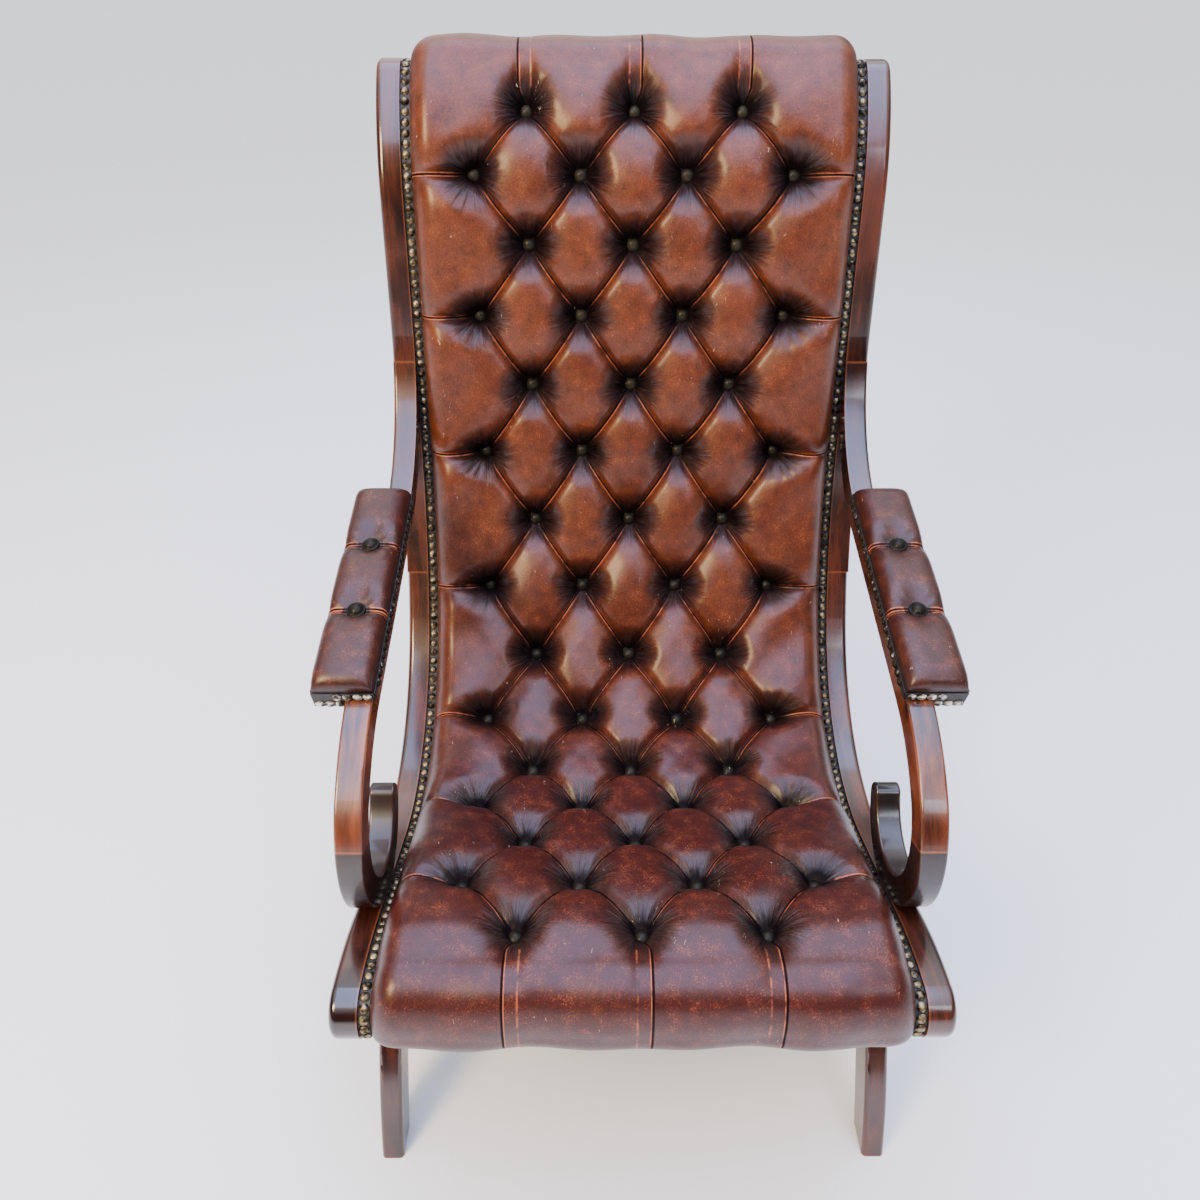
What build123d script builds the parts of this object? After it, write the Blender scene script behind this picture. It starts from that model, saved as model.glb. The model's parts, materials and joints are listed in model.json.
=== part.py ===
from build123d import *
import math
import os

# Side frame, a band that runs from the front scroll to the top of the back
frame_width = 570
frame_thickness = 38
frame_depth = 56
scroll_height = 330
brow_radius = 330
brow_fall = 15.5
seat_run = 148
seat_bend_radius = 243
seat_bend_rise = 59
lumbar_radius = 564
back_angle = 81.3
back_run = 287
top_radius = 241
top_angle = 48
show_arris = 7
hidden_arris = 3
rail_joint_rise = 60

# Rabbet along the inner edge of the show face, which takes the nailed leather edge
rabbet_width = 11
rabbet_depth = 7
cutter_overrun = 5

# Arm, a second band that leaves the stile, carries the pad and scrolls onto the seat rail
arm_thickness = 27
arm_depth = 31
arm_start_rise = 138
arm_start_length = 30
arm_housing = 6
arm_shoulder_radius = 187.5
arm_shoulder_turn = 68.6
arm_run = 253
arm_knee_radius = 220
arm_knee_turn = 31.3
arm_front_radius = 109
arm_front_turn = 46
arm_scroll_radius = 88
arm_tip_radius = 76
arm_tip_turn = 75
arm_eye_turn = 65
arm_tip_rise = 11
arm_pad_joint_setback = 30
arm_front_joint_rise = 38
arm_arris = 4

# Legs, two curved members a side that meet under the seat rail as one arch
leg_thickness = 25
leg_depth = 44
foot_depth = 37
front_foot_setback = 29
front_leg_slope = 72
front_leg_radius = 525
front_leg_turn = 14
rear_leg_turn = 72
leg_crown_rise = 10
leg_taper_height = 95
leg_arris = 5

# Cross rails between the two side frames
rail_set_in = 2
nose_rail_set_in = 8
nose_rail_tail = 22
nose_rail_slope = 3
cross_rail_thickness = 20
cross_rail_width = 62
mid_rail_back = 150
bend_rail_back = 385
lumbar_rail_back = 700
crest_rail_tail = 30
corner_block_leg = 58

# Webbing and the cloth that carry the stuffing
ledger_width = 18
ledger_thickness = 13
webbing_width = 50
webbing_thickness = 2
webbing_gap = 25
hessian_thickness = 1
stuffing_base = 28

# Tufted pad
hide_thickness = 1.5
soft_clearance = 0.3
flange_clearance = 0.9
edge_panel_width = 70
first_row_back = 37
last_row_down = 50
pit_half_width = 10
fold_half_width = 1.6
shoulder_width = 28
shoulder_start = 4
pit_rise_front = 20
pit_rise_back = 4
crown_tuck = 2.4
crown_nose = 11
crown_brow = 36
crown_seat = 44
crown_back = 38
crown_top = 33
crown_roll = 20
button_diameter = 19
button_height = 6.5
button_rim = 1.6

# Decorative nails and the band under them
nail_diameter = 9.5
nail_height = 2.8
nail_pitch = 11.4
band_thickness = 0.6
back_nail_pitch = 32

# Arm pads
pad_board_thickness = 10
pad_width = 61
pad_overhang = 31
pad_rear_lap = 15
pad_front_lap = 20
pad_crown = 20
pad_edge_height = 7
pad_edge_radius = 11
pad_end_slope = 14
pad_pleat_depth = 7
pad_pleat_half_width = 18
pad_skirt = 12
pad_strip_width = 10

# Outside back and the dust cloth under the seat
back_hide_lap = 9.5
dust_cloth_thickness = 0.8
dust_cloth_start = 6

# Dowels and screws
dowel_diameter = 10
dowel_length = 44
dowel_clearance = 0.1
dowel_spacing = 24
screw_diameter = 4.5
screw_head_diameter = 9
screw_length = 36
screw_clearance = 0.2

# Rows of buttons as shares of the mean step between rows, from the front edge upwards
row_step_shares = (0.89, 0.99, 0.94, 0.93, 0.98, 1.14, 1.15, 1.09, 1.11, 1.03, 1.01, 0.98, 0.90, 0.80)

# Rise of the folds and the edge panels as shares of the pillows' rise
fold_rise_share = 0.55
pleat_share = 0.5
edge_panel_share = 0.86
crest_power = 0.8

# Places of the pad's sections, as shares of the step between rows and of each end's length
fold_station_shares = (0.34, 0.66)
nose_station_shares = (0.06, 0.14, 0.22, 0.30, 0.38, 0.46, 0.54, 0.62, 0.70, 0.78)

# Height of an arm pad's end, from its edge inwards, and of its shoulder, as shares of its crown
pad_end_shares = (0.45, 0.8, 1)
pad_shoulder_share = 0.7

half_width = frame_width / 2
half_depth = frame_depth / 2
inner_face = half_width - frame_thickness
show_edge = inner_face + rabbet_width
column_pitch = (inner_face - edge_panel_width) / 1.5


class SidePath:
    """Straight runs and tangent arcs seen from the side, with y to the back and z up."""

    def __init__(self, y, z, heading, runs):
        self.legs = []
        station = 0
        for size, turn in runs:
            length = abs(math.radians(turn)) * size if turn else size
            self.legs.append((station, length, y, z, heading, size, turn))
            y, z, heading = self.along(self.legs[-1], length)
            station += length
        self.length = station

    def along(self, leg, distance):
        """Place and heading at a distance into one leg."""
        station, length, y, z, heading, size, turn = leg
        angle = math.radians(heading)
        if not turn:
            return y + distance * math.cos(angle), z + distance * math.sin(angle), heading
        side = math.copysign(1, turn)
        swung = angle + side * distance / size
        centre_y = y - side * size * math.sin(angle)
        centre_z = z + side * size * math.cos(angle)
        end_y = centre_y + side * size * math.sin(swung)
        end_z = centre_z - side * size * math.cos(swung)
        return end_y, end_z, math.degrees(swung)

    def place(self, station, lift=0):
        """Point at a station, lifted to the left of travel, and the heading there."""
        for leg in self.legs:
            if station <= leg[0] + leg[1]:
                break
        y, z, heading = self.along(leg, station - leg[0])
        angle = math.radians(heading)
        return y - lift * math.sin(angle), z + lift * math.cos(angle), heading

    def find(self, y, z):
        """Station and lift of the place on the path nearest to a point."""
        best = None
        for station, length, from_y, from_z, heading, size, turn in self.legs:
            angle = math.radians(heading)
            if turn:
                side = math.copysign(1, turn)
                centre_y = from_y - side * size * math.sin(angle)
                centre_z = from_z + side * size * math.cos(angle)
                bearing = math.atan2(side * (y - centre_y), side * (centre_z - z))
                swing = (bearing - angle) * side
                swing = (swing + math.pi) % (2 * math.pi) - math.pi
                distance = swing * size
                lift = side * (size - math.hypot(y - centre_y, z - centre_z))
            else:
                distance = (y - from_y) * math.cos(angle) + (z - from_z) * math.sin(angle)
                lift = (z - from_z) * math.cos(angle) - (y - from_y) * math.sin(angle)
            outside = max(0, -distance, distance - length)
            miss = math.hypot(outside, lift)
            if best is None or miss < best[0]:
                best = (miss, station + min(max(distance, 0), length), lift)
        return best[1], best[2]

    def start_of(self, index):
        """Station where a leg starts."""
        return self.legs[index][0]

    def edges(self, low, high, lift, x):
        """Edges of the path between two stations at one lift, in the plane at x."""
        cuts = [low]
        cuts += [leg[0] for leg in self.legs if low < leg[0] < high]
        cuts += [high]
        pieces = []
        for first, last in zip(cuts, cuts[1:]):
            middle = (first + last) / 2
            turn = [leg[6] for leg in self.legs if leg[0] <= middle][-1]
            ends = [Vector(x, *self.place(at, lift)[:2]) for at in (first, middle, last)]
            if turn:
                pieces.append(Edge.make_three_point_arc(*ends))
            else:
                pieces.append(Edge.make_line(ends[0], ends[2]))
        return pieces

    def point(self, station, lift, x):
        """Vector at a station, a lift and an x."""
        return Vector(x, *self.place(station, lift)[:2])

    def plane(self, station, lift, x):
        """Plane across the path: its x axis is the chair's, its y axis is the lift."""
        y, z, heading = self.place(station, lift)
        angle = math.radians(heading)
        ahead = Vector(0, math.cos(angle), math.sin(angle))
        return Plane(origin=(x, y, z), x_dir=(1, 0, 0), z_dir=ahead * -1)


def closed_face(edges):
    """Face inside a chain of edges, its open joints closed with straight lines."""
    chain = []
    for index, edge in enumerate(edges):
        chain.append(edge)
        gap_from = edge.position_at(1)
        gap_to = edges[(index + 1) % len(edges)].position_at(0)
        if (gap_to - gap_from).length > 1e-6 * frame_width:
            chain.append(Edge.make_line(gap_from, gap_to))
    return Face(Wire(chain))


def backwards(edges):
    """The same chain of edges travelled the other way."""
    turned = []
    for edge in reversed(edges):
        if edge.geom_type == GeomType.LINE:
            turned.append(Edge.make_line(edge.position_at(1), edge.position_at(0)))
        else:
            middle = edge.position_at(0.5)
            turned.append(Edge.make_three_point_arc(edge.position_at(1), middle, edge.position_at(0)))
    return turned


def band(path, low, high, lift_low, lift_high, x_low, x_high):
    """Strip that follows a path between two stations, two lifts and two x places."""
    near = path.edges(low, high, lift_high, x_low)
    far = path.edges(low, high, lift_low, x_low)
    face = closed_face(near + backwards(far))
    return Solid.extrude(face, Vector(x_high - x_low, 0, 0))


def mirrored(shape):
    """The same piece for the other side of the chair."""
    return mirror(shape, about=Plane.YZ)


def nearest_edges(solid, points):
    """The edges of a solid that pass closest to each of the points."""
    chosen = []
    for point in points:
        edge = min(solid.edges(), key=lambda each: each.distance_to(point))
        if edge not in chosen:
            chosen.append(edge)
    return chosen


def leg_middles(path, low, high, lift, x):
    """Middle point of each leg of a path between two stations."""
    return [edge.position_at(0.5) for edge in path.edges(low, high, lift, x)]


def bar(start, end, radius):
    """Round bar between two points."""
    axis = end - start
    return Solid.make_cylinder(radius, axis.length, Plane(origin=start, z_dir=axis))


def blend(station, table):
    """Value at a station in a table of stations and values, smooth at each entry."""
    if station <= table[0][0]:
        return table[0][1]
    for (low, before), (high, after) in zip(table, table[1:]):
        if station <= high:
            share = (station - low) / (high - low)
            share = share * share * (3 - 2 * share)
            return before + (after - before) * share
    return table[-1][1]


side = SidePath(0, scroll_height - half_depth, 180, [
    (half_depth, -90),
    (half_depth, -90),
    (brow_radius, -brow_fall),
    (seat_run, 0),
    (seat_bend_radius, brow_fall + seat_bend_rise),
    (lumbar_radius, back_angle - seat_bend_rise),
    (back_run, 0),
    (top_radius, top_angle - back_angle),
    (half_depth, -90),
    (half_depth, -90),
])
nose_end = side.start_of(2)
seat_start = side.start_of(3)
seat_end = side.start_of(4)
bend_end = side.start_of(5)
lumbar_end = side.start_of(6)
back_end = side.start_of(7)
top_end = side.start_of(8)
rail_joint = bend_end + rail_joint_rise

# Arm path, which leaves the show face of the stile at a tangent
arm_station = lumbar_end + arm_start_rise
arm_y, arm_z, arm_heading = side.place(arm_station)
arm = SidePath(arm_y, arm_z, arm_heading + 180, [
    (arm_shoulder_radius, -arm_shoulder_turn),
    (arm_run, 0),
    (arm_knee_radius, arm_knee_turn),
    (arm_front_radius, arm_front_turn),
    (arm_scroll_radius, 90),
    (arm_tip_radius, arm_tip_turn),
])
arm_straight = arm.start_of(1)
arm_knee = arm.start_of(2)
arm_front = arm.start_of(4)
arm_bottom = arm.start_of(5)
arm_inner_x = half_width - arm_thickness
eye_y, eye_z, eye_heading = arm.place(arm_front, arm_depth)
arm_eye = SidePath(eye_y, eye_z, eye_heading, [
    (arm_scroll_radius - arm_depth, 90),
    (arm_scroll_radius - arm_depth, arm_eye_turn),
])
pad_joint = arm_knee - arm_pad_joint_setback
front_joint = arm_front - arm_front_joint_rise


def arm_seat_on_stile():
    """Places where the arm's end and its underside meet the housing in the stile."""
    low, high = 0, arm_depth
    for _ in range(40):
        reach = (low + high) / 2
        y, z, _ = arm.place(arm_start_length, reach)
        if side.find(y, z)[1] > -arm_housing:
            low = reach
        else:
            high = reach
    top_y, top_z, _ = arm.place(arm_start_length, low)
    top_station = side.find(top_y, top_z)[0]
    low, high = arm_start_length, arm_straight
    for _ in range(40):
        along = (low + high) / 2
        y, z, _ = arm.place(along, arm_depth)
        if side.find(y, z)[1] < 0:
            low = along
        else:
            high = along
    y, z, _ = arm.place(low, arm_depth)
    return top_station, side.find(y, z)[0], low


housing_top, housing_bottom, arm_free = arm_seat_on_stile()


def rabbet():
    """Cutter for the step that takes the nailed edge, all along the show face."""
    return band(side, 0, side.length, -rabbet_depth, cutter_overrun, inner_face - cutter_overrun, show_edge)


def softened(solid, radius, points):
    """Rounds the edges of a member that pass nearest to the given points."""
    return solid.fillet(radius, nearest_edges(solid, points))


def seat_rail():
    """Lower side member, from the front scroll round the bend of the seat."""
    outer = side.edges(0, rail_joint, 0, inner_face)
    inner = side.edges(nose_end, rail_joint, -frame_depth, inner_face)
    solid = Solid.extrude(closed_face(outer + backwards(inner)), Vector(frame_thickness, 0, 0))
    rounded = leg_middles(side, 0, rail_joint, 0, half_width)
    rounded += leg_middles(side, nose_end, rail_joint, -frame_depth, half_width)
    return softened(solid, show_arris, rounded) - rabbet()


def back_stile():
    """Upper side member, with the root and the housing of the arm and the rounded top."""
    x = inner_face
    lower = side.edges(rail_joint, housing_bottom, 0, x)
    under = arm.edges(arm_free, arm_straight, arm_depth, x)
    stub = backwards(arm.edges(0, arm_straight, 0, x))
    upper = side.edges(arm_station, side.length, 0, x)
    inner = side.edges(rail_joint, top_end, -frame_depth, x)
    face = closed_face(lower + under + stub + upper + backwards(inner))
    solid = Solid.extrude(face, Vector(frame_thickness, 0, 0))
    rounded = leg_middles(side, arm_station, side.length, 0, half_width)
    rounded += leg_middles(arm, 0, arm_straight, 0, half_width)
    rounded += leg_middles(side, rail_joint, top_end, -frame_depth, half_width)
    solid = softened(solid, show_arris, rounded)
    solid = solid - arm_root(0, x - cutter_overrun, half_width + cutter_overrun)
    solid = solid - arm_root(-arm_housing, arm_inner_x, half_width + cutter_overrun)
    return solid - rabbet()


def arm_root(lift, x_low, x_high):
    """Room for the arm in front of a given depth in the stile."""
    over = cutter_overrun
    outer = arm.edges(arm_start_length, arm_straight + over, -over, x_low)
    inner = arm.edges(arm_free, arm_straight + over, arm_depth, x_low)
    seat = side.edges(housing_bottom, housing_top, lift, x_low)
    face = closed_face(outer + backwards(inner) + seat)
    return Solid.extrude(face, Vector(x_high - x_low, 0, 0))


def arm_blank(edges):
    """Piece of the arm cut from a board as thick as the arm."""
    return Solid.extrude(closed_face(edges), Vector(arm_thickness, 0, 0))


def arm_rail():
    """Rear part of the arm, from its housing in the stile to the joint under the pad."""
    x = arm_inner_x
    outer = arm.edges(arm_start_length, pad_joint, 0, x)
    inner = arm.edges(arm_free, pad_joint, arm_depth, x)
    seat = side.edges(housing_bottom, housing_top, -arm_housing, x)
    solid = arm_blank(outer + backwards(inner) + seat)
    top = leg_middles(arm, arm_start_length, pad_joint, 0, half_width)
    solid = softened(solid, arm_arris, top)
    under = leg_middles(arm, arm_free, pad_joint, arm_depth, half_width)
    under += leg_middles(arm, arm_free, pad_joint, arm_depth, arm_inner_x)
    return softened(solid, hidden_arris, under)


def arm_support():
    """Front part of the arm, which bends down from the pad to the scroll."""
    x = arm_inner_x
    outer = arm.edges(pad_joint, front_joint, 0, x)
    inner = arm.edges(pad_joint, front_joint, arm_depth, x)
    solid = arm_blank(outer + backwards(inner))
    long_edges = []
    for lift in (0, arm_depth):
        for edge_x in (half_width, arm_inner_x):
            long_edges += leg_middles(arm, pad_joint, front_joint, lift, edge_x)
    return softened(solid, hidden_arris, long_edges)


def arm_scroll():
    """Foot of the arm, which lies on the seat rail and curls up behind to a tip."""
    x = arm_inner_x
    outer = arm.edges(front_joint, arm.length, 0, x)
    upright = arm.edges(front_joint, arm_front, arm_depth, x)
    eye = arm_eye.edges(0, arm_eye.length, 0, x)
    outer_tip = arm.point(arm.length, 0, x)
    inner_tip = arm_eye.point(arm_eye.length, 0, x)
    middle = (outer_tip + inner_tip) / 2
    ahead = arm.point(arm.length, 0, x) - arm.point(arm.length - arm_tip_rise, 0, x)
    crest = middle + ahead.normalized() * arm_tip_rise
    tip = Edge.make_three_point_arc(outer_tip, crest, inner_tip)
    solid = arm_blank(outer + [tip] + backwards(eye) + backwards(upright))
    long_edges = []
    for edge_x in (half_width, arm_inner_x):
        long_edges += leg_middles(arm, front_joint, arm.length, 0, edge_x)
        long_edges += leg_middles(arm, front_joint, arm_front, arm_depth, edge_x)
        long_edges += leg_middles(arm_eye, 0, arm_eye.length, 0, edge_x)
        long_edges.append(Vector(edge_x, crest.Y, crest.Z))
    solid = softened(solid, hidden_arris, long_edges)
    rail = band(side, nose_end, rail_joint, -frame_depth, 0, x - cutter_overrun, half_width + cutter_overrun)
    return solid - rail


# Leg arch, which crowns at the lowest place under the seat rail
crown_station = seat_end + math.radians(brow_fall) * seat_bend_radius
crown_height = side.place(crown_station, -frame_depth)[1] + leg_crown_rise
front_low = SidePath(front_foot_setback, 0, front_leg_slope, [(front_leg_radius, -front_leg_turn)])
upper_slope = front_leg_slope - front_leg_turn
front_rise = crown_height - front_low.place(front_low.length)[1]
front_upper_radius = front_rise / (1 - math.cos(math.radians(upper_slope)))
front_arch = SidePath(front_foot_setback, 0, front_leg_slope, [
    (front_leg_radius, -front_leg_turn),
    (front_upper_radius, -upper_slope),
])
crown_y = front_arch.place(front_arch.length)[0]
rear_radius = crown_height / (1 - math.cos(math.radians(rear_leg_turn)))
rear_foot_y = crown_y + rear_radius * math.sin(math.radians(rear_leg_turn))
rear_arch = SidePath(rear_foot_y, 0, 180 - rear_leg_turn, [(rear_radius, rear_leg_turn)])


def leg(path, inward):
    """Curved leg on a path from the foot to the crown; inward is the side of its hollow."""
    x = half_width - leg_thickness
    taper = leg_taper_height
    outer = path.edges(0, path.length, 0, x)
    inner = path.edges(taper, path.length, inward * leg_depth, x)
    foot_y, foot_z, heading = path.place(0)
    reach = inward * foot_depth / math.sin(math.radians(heading))
    heel = Vector(x, foot_y - reach, foot_z)
    knee = path.point(taper, inward * leg_depth, x)
    edges = outer + backwards(inner) + [Edge.make_line(knee, heel)]
    solid = Solid.extrude(closed_face(edges), Vector(leg_thickness, 0, 0))
    long_edges = []
    for edge_x in (x, half_width):
        long_edges += leg_middles(path, 0, path.length, 0, edge_x)
    solid = softened(solid, leg_arris, long_edges)
    rail = band(side, nose_end, rail_joint, -frame_depth, 0, x - cutter_overrun, half_width + cutter_overrun)
    return solid - rail


def nosed_rail(centre_station, tail, toward):
    """Round-edged cross rail inside a scroll, with its tail along the frame."""
    y, z, _ = side.place(centre_station, -half_depth)
    heading = math.radians(side.place(centre_station)[2])
    ahead = Vector(0, math.cos(heading), math.sin(heading)) * toward
    up = Vector(0, -math.sin(heading), math.cos(heading))
    centre = Vector(-inner_face, y, z)
    radius = half_depth - nose_rail_set_in
    top = centre + up * radius
    nose = centre - ahead * radius
    under = centre - up * radius
    tail_top = top + ahead * tail - up * nose_rail_slope
    slant = math.sqrt(0.5)
    upper_mid = centre + (up - ahead) * radius * slant
    lower_mid = centre - (up + ahead) * radius * slant
    edges = [
        Edge.make_three_point_arc(under, lower_mid, nose),
        Edge.make_three_point_arc(nose, upper_mid, top),
        Edge.make_line(top, tail_top),
        Edge.make_line(tail_top, under + ahead * tail),
        Edge.make_line(under + ahead * tail, under),
    ]
    return Solid.extrude(Face(Wire(edges)), Vector(2 * inner_face, 0, 0))


cross_low = rail_set_in - frame_depth
cross_high = cross_low + cross_rail_thickness


def cross_rail(station):
    """Flat cross rail let in near the back of the side frames."""
    low = station - cross_rail_width / 2
    high = station + cross_rail_width / 2
    return band(side, low, high, cross_low, cross_high, -inner_face, inner_face)


cross_stations = [
    nose_end + mid_rail_back,
    nose_end + bend_rail_back,
    nose_end + lumbar_rail_back,
]

# Layers under the pad, counted down from the show face
pad_base = -stuffing_base
hessian_top = pad_base - soft_clearance
hessian_base = hessian_top - hessian_thickness
webbing_top = hessian_base - soft_clearance
webbing_base = webbing_top - webbing_thickness
ledger_top = webbing_base
ledger_base = ledger_top - ledger_thickness

# The stuffing thins out over the two round-edged rails
rail_top = -nose_rail_set_in + 2 * soft_clearance
front_ramp = (nose_end + nose_rail_tail + soft_clearance, nose_end + nose_rail_tail + stuffing_base)
top_ramp = (top_end - crest_rail_tail - stuffing_base, top_end - crest_rail_tail - soft_clearance)
cloth_start = front_ramp[1]
cloth_end = top_ramp[0]


def ledgers():
    """Battens on the inner face of one side frame, between the cross rails."""
    stops = [nose_end + nose_rail_tail + corner_block_leg]
    for station in cross_stations:
        stops += [station - cross_rail_width / 2, station + cross_rail_width / 2]
    stops.append(cloth_end)
    low_x = inner_face - ledger_width
    pieces = []
    for low, high in zip(stops[::2], stops[1::2]):
        pieces.append(band(side, low, high, ledger_base, ledger_top, low_x, inner_face))
    return Compound(children=pieces)


def webbing():
    """Straps from side to side under the stuffing."""
    reach = inner_face - soft_clearance
    step = webbing_width + webbing_gap
    count = int((cloth_end - cloth_start + webbing_gap) // step)
    margin = (cloth_end - cloth_start - count * step + webbing_gap) / 2
    straps = []
    for index in range(count):
        low = cloth_start + margin + index * step
        straps.append(band(side, low, low + webbing_width, webbing_base, webbing_top, -reach, reach))
    return Compound(children=straps)


def hessian():
    """Cloth over the webbing, under the stuffing."""
    reach = inner_face - soft_clearance
    return band(side, cloth_start, cloth_end, hessian_base, hessian_top, -reach, reach)


def corner_block(toward):
    """Triangular block glued behind the front rail and against one side frame."""
    low = nose_end + nose_rail_tail
    wall = toward * inner_face
    inward = wall - toward * corner_block_leg
    low_x, high_x = min(wall, inward), max(wall, inward)
    blank = band(side, low, low + corner_block_leg, cross_low, cross_high, low_x, high_x)
    front = side.place(low, cross_low)[0]
    rear = side.place(low + corner_block_leg, cross_high)[0]
    corners = [Vector(wall, front, 0), Vector(inward, front, 0), Vector(wall, rear, 0)]
    edges = [Edge.make_line(corners[i], corners[(i + 1) % 3]) for i in range(3)]
    return blank & Solid.extrude(Face(Wire(edges)), Vector(0, 0, 2 * scroll_height))


# Button rows: the front row has three buttons, then rows of four and three take turns
first_row = nose_end + first_row_back
last_row = top_end - last_row_down
row_step = (last_row - first_row) / sum(row_step_shares)
rows = [first_row]
for share in row_step_shares:
    rows.append(rows[-1] + share * row_step)

crown_table = [
    (0, crown_tuck),
    (nose_end / 2, crown_nose),
    (nose_end, crown_brow),
    (rows[0], crown_seat),
    (rows[5], crown_seat),
    (rows[8], crown_back),
    (rows[-1], crown_back),
    (top_end, crown_top),
    (top_end + half_depth, crown_roll),
    (side.length, crown_tuck),
]
pit_table = [
    (rows[0], pit_rise_front),
    (rows[5], (pit_rise_front + pit_rise_back) / 2),
    (rows[9], pit_rise_back),
]
base_table = [
    (front_ramp[0], rail_top),
    (front_ramp[1], pad_base),
    (top_ramp[0], pad_base),
    (top_ramp[1], rail_top),
]


def tuft_stations():
    """Stations of the pad's cross-sections, each with its row and its share of a step."""
    flat = pit_half_width
    stations = []
    for share in nose_station_shares:
        stations.append((first_row * share, 0, None))
    stations.append((first_row - 2 * flat, 0, None))
    for index, row in enumerate(rows):
        stations.append((row - flat, index, 0))
        stations.append((row + flat, index, 0))
        if index + 1 < len(rows):
            run = rows[index + 1] - row - 2 * flat
            for share in fold_station_shares:
                stations.append((row + flat + share * run, index, share))
    stations.append((last_row + 2 * flat, len(rows) - 1, None))
    for share in reversed(nose_station_shares):
        stations.append((side.length - (side.length - last_row) * share, len(rows) - 1, None))
    return stations


def tuft_section(station, row, share, inset):
    """Half of a cross-section of the pad: the valleys and crests from the middle out."""
    crown = blend(station, crown_table) - inset
    pit = blend(station, pit_table) - inset
    loose = share is None
    even = row % 2 == 0
    turn = 1 if even else 0
    if share:
        turn = 1 - share if even else share
    pit_share = pit_half_width / column_pitch
    fold_share = fold_half_width / column_pitch
    valley = pit
    if share:
        valley = pit + fold_rise_share * (crown - pit) * math.sin(math.pi * share)
    if loose:
        near = abs(station - rows[row])
        far = rows[0] if row == 0 else side.length - rows[-1]
        fade = min(1, near / far)
        valley = pit + (crown - pit) * (pleat_share + (1 - pleat_share) * fade)
        if station < nose_end or station > top_end:
            valley = crown - (crown_back - pit_rise_back) * pleat_share * (1 - fade)
            valley = min(valley, crown - soft_clearance)
    half_pit = fold_share if loose else pit_share
    inner = min(max(0.5 * (1 - turn), half_pit), 0.5 - half_pit)
    outer = min(max(0.5 + 0.5 * turn, 0.5 + half_pit), 1 - half_pit)
    last = max(1.5 - 0.5 * turn, 1 + half_pit)
    rim = half_pit if turn == 0 else fold_share
    edge_in = last - (half_pit if turn == 0 else 0)
    edge_out = last + 2 * rim if turn else last + half_pit
    places = [inner, outer, edge_in, edge_out]
    xs = [place * column_pitch for place in places]
    return xs, valley, crown, pit


def chain_points(station, row, share, inset):
    """Points of the right half of the pad's outline, each arc as its middle and its end."""
    xs, valley, crown, pit = tuft_section(station, row, share, inset)
    spans = [2 * xs[0], xs[1] - xs[0], xs[2] - xs[1], xs[3] - xs[2]]
    tops = []
    for span in spans:
        width_share = min(1, span / column_pitch)
        if span < 2 * pit_half_width + soft_clearance:
            tops.append(valley + soft_clearance)
        else:
            tops.append(valley + (crown - valley) * math.sin(math.pi / 2 * width_share) ** crest_power)
    wall = inner_face - soft_clearance - inset
    shoulder = wall - shoulder_width
    pleated = share == 0 and row % 2 == 1
    side_crown = valley + (crown - valley) * (pleat_share if pleated else edge_panel_share)
    wall_top = min(shoulder_start, side_crown - 2 * hide_thickness)
    return xs, valley, tops, wall, shoulder, side_crown, wall_top


def quarter(low, high):
    """Middle of an arc from low to high that is level at high, on a section's own axes."""
    across = high[0] - low[0]
    rise = high[1] - low[1]
    radius = (across * across + rise * rise) / (2 * rise)
    sweep = math.atan2(abs(across), radius - rise) / 2
    towards = math.copysign(1, across)
    return (high[0] - towards * radius * math.sin(sweep), high[1] - radius * (1 - math.cos(sweep)))


def outline(station, row, share, inset):
    """Lines and arcs of the pad's show side, from its left wall to its right wall."""
    xs, valley, tops, wall, shoulder, side_crown, wall_top = chain_points(station, row, share, inset)
    crest = (shoulder, side_crown)
    foot = (wall, wall_top)
    valley_points = [(x, valley) for x in xs]
    right = []
    for first, last, top in zip(valley_points, valley_points[1:], tops[1:]):
        right.append(((first[0] + last[0]) / 2, top, first, last))
    middle_arc = [(0, tops[0], (-xs[0], valley), (xs[0], valley))]
    side_mid = quarter(valley_points[-1], crest)
    right.append((side_mid[0], side_mid[1], valley_points[-1], crest))
    wall_mid = quarter(foot, crest)
    right.append((wall_mid[0], wall_mid[1], crest, foot))
    left = []
    for mid_x, mid_n, first, last in reversed(right):
        left.append((-mid_x, mid_n, (-last[0], last[1]), (-first[0], first[1])))
    return left + middle_arc + right, wall


def section_edges(plane, arcs):
    """Edges of a list of arcs, placed in the plane across the path."""
    edges = []
    for mid_x, mid_n, first, last in arcs:
        points = [plane.from_local_coords(Vector(*pair, 0)) for pair in (first, (mid_x, mid_n), last)]
        edges.append(Edge.make_three_point_arc(*points))
    return edges


def line_chain(plane, pairs):
    """Straight edges through points given on a section's own axes."""
    points = [plane.from_local_coords(Vector(*pair, 0)) for pair in pairs]
    return [Edge.make_line(first, last) for first, last in zip(points, points[1:])]


def foam_wire(station, row, share):
    """Closed outline of the stuffing at one station."""
    plane = side.plane(station, 0, 0)
    arcs, wall = outline(station, row, share, hide_thickness + soft_clearance)
    base = blend(station, base_table)
    start = arcs[0][2]
    end = arcs[-1][3]
    lines = line_chain(plane, [end, (wall, base), (-wall, base), start])
    return Wire(section_edges(plane, arcs) + lines)


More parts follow.
